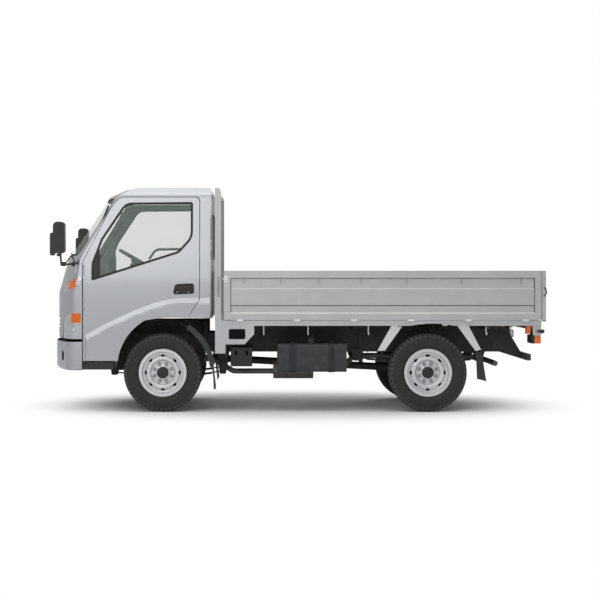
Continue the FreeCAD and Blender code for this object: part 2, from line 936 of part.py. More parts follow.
def knuckle(name, side):
    """Stub axle with its two kingpin eyes, back plate, spindle and steering arm."""
    x, pin_y, z = at(0), -size.kingpin_spread / 2, size.tyre_radius
    half_boss = size.kingpin_boss_height / 2
    eye_gap, eye = 2, 26
    plate_y = pin_y - size.back_plate_setting
    made = []
    for sign in (1, -1):
        near = z + sign * (half_boss + eye_gap)
        lo, hi = sorted((near, near + sign * eye))
        made.append(rod(spot(x, pin_y, lo), spot(x, pin_y, hi), size.kingpin_boss_radius))
        made.append(block(x - 26, x + 26, plate_y, pin_y, lo, hi))
    made.append(block(x - 26, x + 26, plate_y, plate_y + 9,
                      z - half_boss - eye_gap - eye, z + half_boss + eye_gap + eye))
    plate_back = spot(x, plate_y, z)
    made.append(rod(plate_back, plate_back - spot(0, size.back_plate_thickness, 0),
                    size.back_plate_radius))
    tip_y = -size.track / 2 - size.disc_face + size.disc_plate + 2
    made.append(rod(plate_back, spot(x, tip_y, z), size.spindle_radius))
    # Steering arm, back and down to the tie rod's eye
    arm_z = z - half_boss - eye_gap - eye
    arm = slab([
        (x - 26, pin_y - 22), (x + 10, pin_y - 22),
        (x + size.steering_arm_length, pin_y - size.steering_arm_width / 2, 14),
        (x + size.steering_arm_length, pin_y + size.steering_arm_width / 2, 14),
        (x + 10, pin_y + 26), (x - 26, pin_y + 26),
    ], "XY", arm_z, arm_z + size.steering_arm_thickness)
    made.append(arm)
    shape = fused(made)
    bore = size.kingpin_radius + size.pin_clearance
    shape = shape.cut(rod(spot(x, pin_y, 0), spot(x, pin_y, 2 * z), bore))
    tie_x = x + size.steering_arm_length - size.steering_arm_width / 2
    pin_top = arm_z + size.steering_arm_thickness
    pin_foot = arm_z - size.tie_rod_drop - 20
    shape = shape.fuse(rod(spot(tie_x, pin_y, pin_foot), spot(tie_x, pin_y, pin_top),
                           size.tie_pin_radius)).removeSplitter()
    keep(f"{name}_knuckle", on_side(shape, side))


def tie_rod():
    """The rod behind the axle that joins the two steering arms."""
    pin_y, x = size.kingpin_spread / 2, at(0)
    tie_x = x + size.steering_arm_length - size.steering_arm_width / 2
    arm_z = size.tyre_radius - size.kingpin_boss_height / 2 - 28
    z = arm_z - size.tie_rod_drop
    made = [rod(spot(tie_x, -pin_y, z), spot(tie_x, pin_y, z), size.tie_rod_radius)]
    for side in SIDES.values():
        foot, head = spot(tie_x, side * pin_y, z - 14), spot(tie_x, side * pin_y, arm_z - 2)
        made.append(rod(foot, head, size.tie_eye_radius))
    shape = fused(made)
    for side in SIDES.values():
        foot = spot(tie_x, side * pin_y, z - 40)
        radius = size.tie_pin_radius + size.pin_clearance
        shape = shape.cut(rod(foot, foot + spot(0, 0, 80), radius))
    keep("tie_rod", shape)


# Rear axle, drive and springs


def rear_axle():
    x, z = at(size.wheelbase), size.tyre_radius
    plate_y = size.kingpin_spread / 2 + size.back_plate_setting
    tip_y = size.track / 2 + size.disc_face - size.disc_plate - 2
    made = [rod(spot(x, -plate_y, z), spot(x, plate_y, z), size.axle_tube_radius),
            rod(spot(x, -tip_y, z), spot(x, tip_y, z), size.spindle_radius)]
    for side in SIDES.values():
        start = spot(x, side * plate_y, z)
        end = start + spot(0, side * size.back_plate_thickness, 0)
        made.append(rod(start, end, size.back_plate_radius))
    half = size.banjo_width / 2
    dome = Part.makeSphere(size.banjo_radius, spot(x, 0, z))
    made.append(dome.common(block(x - 200, x + 200, -half, half, z - 200, z + 200)))
    nose = size.banjo_radius + 70
    made.append(Part.makeCone(80, 46, nose, spot(x, 0, z), spot(-1, 0, 0)))
    for side in SIDES.values():
        y = side * size.spring_spread / 2
        half_seat = size.spring_width / 2 + 8
        made.append(block(x - 70, x + 70, y - half_seat, y + half_seat,
                          z + 20, z + size.axle_tube_radius + 8))
    keep("rear_axle", fused(made))


def prop_shaft():
    """The drive shaft from the gearbox to the rear axle's nose."""
    start = spot(at(size.engine_length - size.engine_front) + size.seat_clearance, 0,
                 size.engine_bottom + 70)
    nose_x = at(size.wheelbase) - size.banjo_radius - 70 - size.seat_clearance
    end = spot(nose_x, 0, size.tyre_radius)
    run = (end - start).normalize()
    flange = size.prop_shaft_radius + 16
    made = [rod(start + run * 40, end - run * 40, size.prop_shaft_radius),
            rod(start, start + spot(12, 0, 0), flange),
            rod(end - spot(12, 0, 0), end, flange),
            rod(start + spot(6, 0, 0), start + run * 60, 26),
            rod(end - run * 60, end - spot(6, 0, 0), 26)]
    keep("prop_shaft", fused(made))


def leaf_spring(middle_x, low_z, reaches, bend, y, leaves):
    """A pack of leaves bent about one centre, with an eye at each end of the top leaf."""
    half, leaf = size.spring_width / 2, size.spring_leaf
    centre_z = low_z + leaf * leaves + bend
    made = []

    def on_arc(radius, x):
        return middle_x + x, centre_z - math.sqrt(radius ** 2 - x ** 2)

    for i in range(leaves):
        share = 1 - 0.75 * i / leaves
        inner, outer = bend + leaf * i, bend + leaf * (i + 1)
        x0, x1 = -reaches[0] * share, reaches[1] * share
        strip = [on_arc(inner, x0), on_arc(inner, 0) + (BEND,), on_arc(inner, x1),
                 on_arc(outer, x1), on_arc(outer, 0) + (BEND,), on_arc(outer, x0)]
        made.append(slab(strip, "XZ", y - half, y + half))
    for x in (-reaches[0], reaches[1]):
        eye_x, eye_z = on_arc(bend + leaf / 2, x)
        made.append(rod(spot(eye_x, y - half, eye_z), spot(eye_x, y + half, eye_z),
                        size.spring_eye_radius))
    # Clamp plate over the axle
    top = low_z + leaf * leaves
    made.append(block(middle_x - 58, middle_x + 58, y - half - 8, y + half + 8,
                      top - leaf / 2, top + 12))
    return fused(made)


def spring_seats():
    """Station, seat height, reaches, bend and number of leaves of each pair of springs."""
    beam_top = size.tyre_radius - size.beam_drop + size.beam_depth / 2
    tube_top = size.tyre_radius + size.axle_tube_radius + 8
    return [
        (0, beam_top + size.seat_clearance,
         (size.front_spring_reach_front, size.front_spring_reach_rear),
         size.front_spring_bend, 4),
        (size.wheelbase, tube_top + size.seat_clearance,
         (size.rear_spring_reach_front, size.rear_spring_reach_rear),
         size.rear_spring_bend, 5),
    ]


def leaf_springs():
    made = []
    for station, low, reaches, bend, leaves in spring_seats():
        made += both_sides(leaf_spring(at(station), low, reaches, bend,
                                       -size.spring_spread / 2, leaves))
    keep("leaf_springs", Part.makeCompound(made))


# Chassis frame


def spring_hanger(x, eye_z, y):
    """Two plates from the rail down to a pin through the spring's eye."""
    half = size.spring_width / 2 + size.seat_clearance
    top = size.rail_bottom + 30
    made = []
    for sign in (1, -1):
        lo, hi = sorted((y + sign * half, y + sign * (half + size.hanger_plate)))
        cheek = slab([(x - 62, top), (x + 62, top), (x + 30, eye_z - 26, 12),
                      (x - 30, eye_z - 26, 12)], "XZ", lo, hi)
        made.append(cheek)
    cap = block(x - 58, x + 58, y - half, y + half, size.rail_bottom - 8, size.rail_bottom)
    return made + [cap]


def chassis_frame():
    """Two channel rails, their cross members, spring hangers and the cab's mounts."""
    half, flange, plate = size.rail_spread / 2, size.rail_flange, size.rail_plate
    low, high = size.rail_bottom, size.rail_bottom + size.rail_depth
    x0, x1 = at(-size.rail_front), at(size.rail_rear)
    channel = [
        (-half, low), (-half + flange, low), (-half + flange, low + plate),
        (-half + plate, low + plate), (-half + plate, high - plate),
        (-half + flange, high - plate), (-half + flange, high), (-half, high),
    ]
    rail = slab(channel, "YZ", x0, x1)
    holes = []
    for i in range(int(size.rail_hole_count)):
        x = at(size.bed_front + 120 + i * size.rail_hole_pitch)
        if x < x1 - 60:
            holes.append(rod(spot(x, -half - 5, low + size.rail_depth / 2),
                             spot(x, -half + flange + 5, low + size.rail_depth / 2),
                             size.rail_hole_radius))
    rail = rail.cut(holes)
    made = both_sides(rail)
    inner = half - plate
    deep, wide, thin = size.cross_member_depth, size.cross_member_width, size.cross_member_plate
    mid = (low + high) / 2
    for station in (-905, 560, 1300, 1990, 2890, size.rail_rear - wide):
        x = at(station)
        hat = [
            (x, mid - deep / 2), (x + thin, mid - deep / 2), (x + thin, mid + deep / 2 - thin),
            (x + wide - thin, mid + deep / 2 - thin), (x + wide - thin, mid - deep / 2),
            (x + wide, mid - deep / 2), (x + wide, mid + deep / 2), (x, mid + deep / 2),
        ]
        made.append(slab(hat, "XZ", -inner, inner))
    # Cab tilt tube through the rails' front ends
    hinge = spot(at(-size.tilt_hinge_station), 0, size.tilt_hinge_height)
    reach = size.tilt_lug_spread / 2 + size.tilt_lug_width / 2 + 6
    made.append(rod(hinge - spot(0, reach, 0), hinge + spot(0, reach, 0), size.tilt_tube_radius))
    # Arch under the back of the cab
    arch_x, arch_y = at(size.cab_back - size.cab_wall - 47), half + 4
    arch_top = size.seat_deck_height - size.seat_clearance
    for side in SIDES.values():
        lo, hi = sorted((side * (half - 30), side * (half + 10)))
        made.append(block(arch_x, arch_x + 40, lo, hi, high - 40, arch_top))
    made.append(block(arch_x, arch_x + 40, -arch_y, arch_y, arch_top - 22, arch_top))
    for station, seat, reaches, bend, leaves in spring_seats():
        for reach in (-reaches[0], reaches[1]):
            arc = bend + size.spring_leaf / 2
            eye_z = (seat + size.spring_leaf * leaves + bend
                     - math.sqrt(arc ** 2 - reach ** 2))
            for side in SIDES.values():
                made += spring_hanger(at(station + reach), eye_z, side * size.spring_spread / 2)
    # Engine mounts, from the rails to the block
    engine_y = size.engine_width / 2 + size.seat_clearance
    for share in (0.2, 0.8):
        x = at(size.engine_length * share - size.engine_front)
        for side in SIDES.values():
            lo, hi = sorted((side * engine_y, side * (half - plate / 2)))
            made.append(block(x - 45, x + 45, lo, hi, low + 30, low + 80))
    keep("chassis_frame", fused(made))


def engine():
    """Engine and gearbox as one plain block."""
    item = doc.addObject("Part::Box", "engine")
    item.Label = "engine"
    tie(item, Length="engine_length", Width="engine_width", Height="engine_height")
    corner = spot(at(-size.engine_front), -size.engine_width / 2, size.engine_bottom)
    item.Placement = FreeCAD.Placement(corner, FreeCAD.Rotation())
    pieces["engine"] = item


# Cab


def plan_curve(half, front, rear, corner, bend):
    """The cab seen from above: a bent front, round corners and straight sides."""
    run = half - corner * 0.62
    sag = bend - math.sqrt(bend ** 2 - run ** 2)
    return [
        (front + sag, -run), (front, 0.0, BEND), (front + sag, run),
        (front + sag + corner * 0.32, half - corner * 0.14, BEND),
        (front + sag + corner, half), (rear, half), (rear, -half),
        (front + sag + corner, -half),
        (front + sag + corner * 0.32, -half + corner * 0.14, BEND),
    ]


def raked(half, front, base, rake, corner):
    """A long prism of the plan curve, leaned back at a rake through a front place at a base
    height. The flatter it leans, the larger its bend, so that its level sections stay alike."""
    reach = size.wheelbase
    angle = math.radians(rake)
    curve = plan_curve(half, 0.0, reach, corner, size.cab_front_bend / math.cos(angle))
    prism = slab(curve, "XY", -reach, reach)
    prism.Placement = FreeCAD.Placement(spot(front, 0, base),
                                        FreeCAD.Rotation(spot(0, 1, 0), rake))
    return prism


def cab_solid(inset, open_below=False):
    """The cab's outer form, drawn in by an inset on every side but, if asked, not below.

    It is what five leaned prisms share: lamps' face, nose, screen, header and brow."""
    half = cab_half - inset
    front, back = at(-size.cab_front) + inset, at(size.cab_back) - inset
    setback, over = size.screen_base_setback, size.overrun
    low = size.door_bottom + (-over if open_below else inset)
    top = size.cab_roof - inset
    base, nose = size.screen_base_height, size.nose_height
    header = size.header_height - inset * 0.5
    header_front = (front + setback + inset * 0.2
                    + (header - base) * math.tan(math.radians(size.screen_rake)))
    brow = header + size.brow_height
    brow_front = header_front + size.brow_height * math.tan(math.radians(size.header_rake))
    nose_rake = math.degrees(math.atan(setback / (base - nose)))
    leans = [
        (front, low, 0), (front, nose, nose_rake),
        (front + setback + inset * 0.2, base, size.screen_rake),
        (header_front, header, size.header_rake), (brow_front, brow, size.brow_rake),
    ]
    body = block(front - over, back + over, -half - over, half + over, low, top + over)
    for i, (place, height, rake) in enumerate(leans):
        wide = half + size.side_relief * (1 + i / len(leans))
        body = body.common(raked(wide, place, height, rake, size.cab_corner_radius - inset))
    # Seen from the front: tumblehome, eaves and the roof's crown
    eave, waist, lean = size.cab_eave - inset, size.waist_height, size.tumblehome
    crown_edge = half - lean - size.roof_edge_radius * 0.8
    front_view = [
        (-half, low), (half, low), (half, waist, 400),
        (half - lean, eave, size.roof_edge_radius * 0.6),
        (crown_edge, top - 26), (0.0, top, BEND), (-crown_edge, top - 26),
        (-half + lean, eave, size.roof_edge_radius * 0.6), (-half, waist, 400),
    ]
    body = body.common(slab(front_view, "YZ", front - over, back + over))
    # Seen from the side: the back wall and the round back edge of the roof
    side_view = [
        (front - 2 * over, low - over), (back, low - over), (back, top - 90),
        (back - 14, top - 32, BEND), (back - 80, top + 3), (back - 80, top + over),
        (front - 2 * over, top + over),
    ]
    return body.common(slab(side_view, "XZ", -half - over, half + over))


def arch_outline(radius, extra=0.0):
    """The front wheel's arch in the cab's side, as an outline to cut with."""
    x, z = at(0), size.tyre_radius
    low = z + 117 - extra
    return [
        (x - 416, low - 300), (x - 416, low), (x - 355, z + 300, BEND),
        (x - 165, z + radius * 0.95), (x + 20, z + radius, BEND),
        (x + 205, size.cab_rear_bottom), (x + 900, size.cab_rear_bottom), (x + 900, low - 300),
    ]


def door_outline(gap=0.0):
    """The door's edge seen from the side; a gap makes it larger all round."""
    front, rear = at(-size.door_front) - gap, at(size.door_rear) + gap
    foot, high = size.door_bottom - gap - size.door_foot_drop, size.door_top + gap
    slant = at(size.door_rear - size.door_slant_setback) + gap
    return [
        (front, foot), (slant, foot), (slant, size.cab_rear_bottom - size.door_arch_drop),
        (rear, size.door_slant_top, size.door_slant_radius), (rear, high, size.door_top_radius),
        (at(-size.door_head_front) - gap / 2, high, size.door_head_radius),
        (at(-size.door_brow_station) - gap, size.door_brow_height, size.door_top_radius),
        (at(-size.door_pillar_station) - gap, size.door_pillar_height, size.door_pillar_radius),
        (front, size.door_waist_height, size.door_head_radius),
    ]


def window_outline(inset=0.0):
    """The side window's edge."""
    front, rear = at(-size.window_front) + inset, at(size.window_rear) - inset
    high, nose_radius = size.window_top - inset, size.window_sill_radius
    return [
        (front, size.window_bottom + inset, size.window_foot_radius),
        (at(size.window_sill_station), size.window_sill_height + inset, nose_radius),
        (rear, size.window_rear_height, size.window_rear_radius),
        (rear, high, size.window_top_radius),
        (at(-size.window_head_station) + inset, high - size.window_head_drop, nose_radius),
        (at(-size.window_pillar_station) + inset, size.window_pillar_height,
         size.window_pillar_radius),
        (front, size.window_nose_height, nose_radius),
    ]


def screen_outline(inset=0.0):
    """The windscreen's edge seen from the front."""
    border, radius = size.screen_border + inset, size.screen_radius
    low, high = size.screen_base_height + border, size.header_height - border
    wide = cab_half - size.screen_foot_setting - inset
    narrow = cab_half - size.screen_head_setting - inset
    return [(-wide, low, radius), (wide, low, radius), (narrow, high, radius),
            (-narrow, high, radius)]


def rear_window_outline(inset=0.0):
    half = size.rear_window_width / 2 - inset
    low, high = size.rear_window_bottom + inset, size.rear_window_top - inset
    radius = size.window_corner_radius - inset
    return [(-half, low, radius), (half, low, radius), (half, high, radius),
            (-half, high, radius)]


def headlamp_outline():
    """The headlamp seen from the side, its upper front corner bent."""
    front, rear, radius = at(-size.lamp_front), at(-size.lamp_rear), size.lamp_corner_radius
    return [
        (front, size.headlamp_bottom), (rear, size.headlamp_bottom, radius),
        (rear, size.headlamp_top, radius), (at(-size.headlamp_round_station), size.headlamp_top),
        (at(-size.headlamp_bend_station), size.headlamp_bend_height, BEND),
        (front, size.headlamp_front_height),
    ]


def corner_lamp_outline():
    """The clearance lamp's band seen from the side, rising to the rear."""
    front, rear, radius = at(-size.lamp_front), at(-size.lamp_rear), size.lamp_corner_radius
    return [
        (front, size.corner_lamp_low_front), (rear, size.corner_lamp_low_rear, radius),
        (rear, size.corner_lamp_high_rear, radius), (front, size.corner_lamp_high_front),
    ]


def panel_outline(gap=0.0):
    """The front panel's edge seen from the front; a gap makes it larger all round."""
    half, low, high = size.front_panel_half + gap, size.front_panel_bottom - gap, (
        size.front_panel_top + gap)
    foot, head = size.front_panel_low_radius, size.front_panel_high_radius
    return [(-half, low, foot), (half, low, foot), (half, high, head), (-half, high, head)]


def grille_slots():
    """The grille's level slots, seen from the front."""
    half, radius = size.grille_half, size.grille_radius
    slots = []
    for i in range(int(size.grille_slot_count)):
        low = size.grille_bottom + i * size.grille_pitch
        high = low + size.grille_slot
        slots.append(slab([(-half, low, radius), (half, low, radius), (half, high, radius),
                           (-half, high, radius)], "YZ", at(-size.front_overhang), at(-size.lamp_rear)))
    return slots


def crease_outline(drop=0.0, gather=0.0):
    """The cab's side below its crease. A drop lowers the crease, a gather draws in the ends."""
    front, back = at(-size.flare_front) + gather, at(size.cab_back) - gather
    return [
        (front, size.door_bottom), (back, size.door_bottom),
        (back, size.crease_back_height - drop),
        (at(size.crease_rear_station), size.crease_rear_height - drop),
        (at(size.crease_turn_station), size.crease_turn_height - drop, BEND),
        (at(-size.crease_knee_station), size.crease_knee_height - drop),
        (at(-size.crease_rise_station), size.crease_rise_height - drop, BEND),
        (front, size.crease_front_height - drop),
    ]


def side_flare():
    """The pressing that stands out below the crease of the cab's left side."""
    face = -cab_half
    root = slab(crease_outline(), "XZ", face, face + size.flare_root)
    foot = outline(crease_outline(), "XZ", face)
    crown = outline(crease_outline(size.flare_slope, size.flare_end), "XZ",
                    face - size.flare_depth)
    return root.fuse(Part.makeLoft([foot, crown], True, True))


def handle_outline():
    """The door handle's recess seen from the side."""
    front, rear, radius = at(size.handle_front), at(size.handle_rear), size.handle_radius
    low, high, drop = size.handle_bottom, size.handle_top, size.handle_drop
    return [(front, low, radius), (rear, low + drop, radius), (rear - drop / 2, high, radius),
            (front + size.handle_slant, high - drop, radius + drop)]


def door_hinge_axis():
    """Where the door's vertical hinge line stands, on the left."""
    return spot(at(-size.door_front) + size.door_hinge_setting,
                -cab_half + size.door_hinge_setting, 0)


def cab():
    """The tilting cab: shell, front panel, glass, lamps and doors."""
    far, near = cab_half + size.overrun, cab_half - 4 * size.cab_wall
    clear = size.seat_clearance
    shell = cab_solid(0.0).cut(cab_solid(size.cab_wall, True))
    shell = shell.fuse(both_sides(side_flare()))
    ahead = block(at(-size.wheelbase), at(-size.door_front) - size.door_gap, -far, far, 0,
                  size.cab_skirt_bottom)
    skin = shell.cut([slab(arch_outline(size.arch_radius), "XZ", -far, far), ahead])
    # Doors
    axis = door_hinge_axis()
    opening = slab(door_outline(size.door_gap), "XZ", -far, -near)
    door = skin.common(slab(door_outline(), "XZ", -far, -near))
    waist = size.door_waist_height
    square_edge = block(axis.x - size.overrun, axis.x, -far, axis.y, 0, waist)
    round_edge = rod(spot(axis.x, axis.y, 0), spot(axis.x, axis.y, waist),
                     size.door_hinge_setting)
    door = door.cut(square_edge.cut(round_edge))
    swing = at(size.door_rear) - axis.x
    door = door.common(rod(spot(axis.x, axis.y, 0), spot(axis.x, axis.y, size.cab_roof), swing))
    door = door.cut([slab(window_outline(), "XZ", -far, -near),
                     slab(handle_outline(), "XZ", -far, -cab_half + size.handle_depth)])
    pane = cab_solid(size.glass_setting).cut(cab_solid(size.glass_setting + size.glass_plate))
    glass = pane.common(slab(window_outline(clear), "XZ", -far, -near))
    skin = skin.cut([opening, other_side(opening)])
    pivot_cut = rod(spot(axis.x, axis.y, 0), spot(axis.x, axis.y, waist),
                    size.door_hinge_setting + size.door_gap)
    skin = skin.cut([pivot_cut, other_side(pivot_cut)])
    # Hinge pins and lugs
    pin, length = size.door_pin_radius, size.door_hinge_length
    lugs, bores = [], []
    lug_high = size.hinge_lug
    slot = lug_high + size.hinge_lug_play
    for z in (size.hinge_low, size.hinge_high):
        foot, head = spot(axis.x, axis.y, z), spot(axis.x, axis.y, z + length)
        lugs.append(rod(foot, head, pin))
        for low in (z - lug_high, z + length):
            lug = rod(spot(axis.x, axis.y, low), spot(axis.x, axis.y, low + lug_high),
                      size.door_hinge_setting - 1)
            arm = block(axis.x - size.hinge_lug_back, axis.x, axis.y - size.hinge_lug_out,
                        axis.y + size.hinge_lug_in, low, low + lug_high)
            lugs += [lug, arm]
        bores.append(rod(foot - spot(0, 0, slot), head + spot(0, 0, slot),
                         pin + size.pin_clearance))
        for low in (z - slot, z + length - size.door_arch_drop):
            bores.append(rod(spot(axis.x, axis.y, low),
                             spot(axis.x, axis.y, low + slot + size.door_arch_drop),
                             size.door_hinge_setting + size.hinge_lug_play))
    door = door.cut(bores)
    # Floor, seat deck and step wells
    floor_top = size.floor_height + size.floor_plate
    deck_low = size.seat_deck_height
    inner_half = cab_half - size.cab_wall
    nose_x = at(-size.cab_front) + size.cab_wall * 0.6
    floor_profile = [
        (nose_x, size.floor_height), (at(-size.seat_deck_front - 60), size.floor_height),
        (at(-size.seat_deck_front), deck_low), (at(size.cab_back) - 10, deck_low),
        (at(size.cab_back) - 10, deck_low + size.floor_plate),
        (at(-size.seat_deck_front) - 20, deck_low + size.floor_plate),
        (at(-size.seat_deck_front - 60) - 20, floor_top), (nose_x, floor_top),
    ]
    inside = cab_solid(size.cab_wall * 0.5)
    floor = slab(floor_profile, "XZ", -inner_half - 5, inner_half + 5).common(inside)
    well_low, well_plate = size.step_well_bottom, size.step_well_plate
    well_out = slab([
        (at(-size.step_well_front), well_low), (at(-size.step_well_rear) - 34, well_low),
        (at(-size.step_well_rear), well_low + 40), (at(-size.step_well_rear), floor_top),
        (at(-size.step_well_front), floor_top),
    ], "XZ", -inner_half + clear, -size.step_well_inner)
    well_in = slab([
        (at(-size.step_well_front) + well_plate, well_low + 70),
        (at(-size.step_well_rear) - well_plate, well_low + 70),
        (at(-size.step_well_rear) - well_plate, floor_top + 1),
        (at(-size.step_well_front) + well_plate, floor_top + 1),
    ], "XZ", -inner_half - 1, -size.step_well_inner - well_plate)
    sill = block(at(-size.step_well_front), at(-size.step_well_rear) - 34,
                 -inner_half - 24, -inner_half + 5, well_low, well_low + 70)
    kept_off = both_sides(slab(headlamp_outline(), "XZ", -far, -size.headlamp_inner + clear))
    cut_front, nose_rear = at(-size.cut_front), at(-size.nose_cut_rear)
    kept_off.append(slab(panel_outline(clear), "YZ", cut_front, nose_rear))
    within = cab_solid(size.cab_wall + clear, True)
    floor = floor.cut([zone.cut(within) for zone in kept_off])
    floor = floor.cut([well_in, other_side(well_in)])
    wells = [well_out.cut(well_in), other_side(well_out.cut(well_in)), sill, other_side(sill)]
    # Clearance from the door's inner face to the floor's edges
    door_side = slab(door_outline(size.door_gap), "XZ", -far, -inner_half + size.door_gap)
    floor = floor.cut([door_side, other_side(door_side)])
    wells = [w.cut([door_side, other_side(door_side)]) for w in wells]
    # Tilt lugs under the floor
    hinge = spot(at(-size.tilt_hinge_station), 0, size.tilt_hinge_height)
    lug_radius, lug_half = size.tilt_lug_radius, size.tilt_lug_width / 2
    tilt_lugs = []
    for side in SIDES.values():
        y = side * size.tilt_lug_spread / 2
        tilt_lugs.append(rod(hinge + spot(0, y - lug_half, 0), hinge + spot(0, y + lug_half, 0),
                             lug_radius))
        tilt_lugs.append(block(hinge.x - lug_radius, hinge.x + lug_radius, y - lug_half,
                               y + lug_half, hinge.z, size.floor_height + 5))
    tilt_lugs = [lug.cut([zone.cut(within) for zone in kept_off]) for lug in tilt_lugs]
    # Front panel between the lamps
    front_panel = skin.common(slab(panel_outline(), "YZ", cut_front, nose_rear))
    grille_floor = cab_solid(size.grille_depth)
    front_panel = front_panel.cut([slot.cut(grille_floor) for slot in grille_slots()])
    skin = skin.cut(slab(panel_outline(clear), "YZ", cut_front, nose_rear))
    # Windscreen and rear window
    screen_rear, back = at(-size.screen_cut_rear), at(size.cab_back)
    screen_hole = slab(screen_outline(), "YZ", cut_front, screen_rear)
    rear_hole = slab(rear_window_outline(), "YZ", back - size.rear_cut_depth,
                     back + size.overrun)
    skin = skin.cut([screen_hole, rear_hole])
    screen = pane.common(slab(screen_outline(clear), "YZ", cut_front, screen_rear))
    rear_glass = pane.common(slab(rear_window_outline(clear), "YZ",
                                  back - size.rear_cut_depth, back + size.overrun))
    # Lamps set into the corners
    lamp_skin = cab_solid(1.0).cut(cab_solid(size.cab_wall))
    lamps = []
    for edge, inner in ((headlamp_outline(), size.headlamp_inner),
                        (corner_lamp_outline(), size.corner_lamp_inner)):
        lamps.append(lamp_skin.common(slab(edge, "XZ", -far, -inner)))
        hole = slab(edge, "XZ", -far, -inner + clear)
        skin = skin.cut([hole, other_side(hole)])
        front_panel = front_panel.cut([hole, other_side(hole)])
    skin_parts = fused([skin, floor] + wells + tilt_lugs + lugs + [other_side(s) for s in lugs])
    bore = size.tilt_tube_radius + size.pin_clearance
    across = spot(0, cab_half, 0)
    skin_parts = skin_parts.cut(rod(hinge - across, hinge + across, bore))
    keep("cab_shell", skin_parts)
    keep("front_panel", front_panel)
    keep("cab_glass", Part.makeCompound([screen, rear_glass]))
    for label, lamp in zip(("headlamps", "corner_lamps"), lamps):
        keep(label, Part.makeCompound(both_sides(lamp)))
    for name, side in SIDES.items():
        keep(f"{name}_door", on_side(door, side))
        keep(f"{name}_door_glass", on_side(glass, side))


def mirrors():
    """Door mirrors on their stays, one each side."""
    y_in, y_out = -cab_half + size.mirror_foot_setting, -cab_half - size.mirror_reach
    stem_y, out = y_out + size.mirror_stem_setting, y_out - size.mirror_out
    stay, half = size.mirror_stay_radius, spot(0, 0, size.mirror_foot_half)
    foot = spot(at(-size.mirror_foot_station), y_in, size.mirror_foot_height)
    knee = spot(at(-size.mirror_knee_station), stem_y, size.mirror_knee_height)
    top = spot(at(-size.mirror_stem_station), stem_y, size.mirror_stem_top)
    made = [rod(foot, knee, stay), rod(knee, top, stay), Part.makeSphere(stay, knee)]
    made.append(rod(foot - half, foot + half, size.mirror_foot_radius))
    front, rear, radius = at(-size.mirror_front), at(-size.mirror_rear), size.mirror_radius
    low, high = size.mirror_bottom, size.mirror_top
    housing = slab([(front, low, radius), (rear, low, radius), (rear, high, radius),
                    (front, high, radius)], "XZ", out, y_out + size.mirror_in)
    front, rear = at(-size.small_mirror_front), at(-size.small_mirror_rear)
    low, high, radius = (size.small_mirror_bottom, size.small_mirror_top,
                         size.small_mirror_radius)
    second = slab([(front, low, radius), (rear, low, radius), (rear, high, radius),
                   (front, high, radius)], "XZ", out, y_out + size.small_mirror_in)
    made += [housing, second]
    shape = fused(made)
    keep("mirrors", Part.makeCompound(both_sides(shape.cut(cab_solid(-size.seat_clearance)))))


def wipers():
    """Two wiper arms with their blades along the foot of the windscreen."""
    made = []
    slope = math.tan(math.radians(size.screen_rake))
    proud, drop = size.wiper_proud, size.wiper_pivot_drop
    for y in (-size.wiper_left_y, size.wiper_right_y):
        z0 = size.screen_base_height + size.wiper_low
        z1 = size.screen_base_height + size.wiper_high
        front = at(-size.cab_front) + size.screen_base_setback
        bend = size.cab_front_bend

        def on_screen(across, height, proud):
            sag = bend - math.sqrt(bend ** 2 - across ** 2)
            back = (height - size.screen_base_height) * slope
            return spot(front + sag + back - proud, across, height)

        start, end = on_screen(y, z0, proud), on_screen(y + size.wiper_length, z1, proud)
        made.append(rod(start, end, size.wiper_radius))
        made.append(rod(on_screen(y, z0 - drop, -size.wiper_pivot_depth),
                        on_screen(y, z0 - drop, size.wiper_pivot_proud), size.wiper_pivot_radius))
    skin = cab_solid(-size.seat_clearance)
    keep("wipers", Part.makeCompound([fused(made[0:2]).cut(skin), fused(made[2:4]).cut(skin)]))


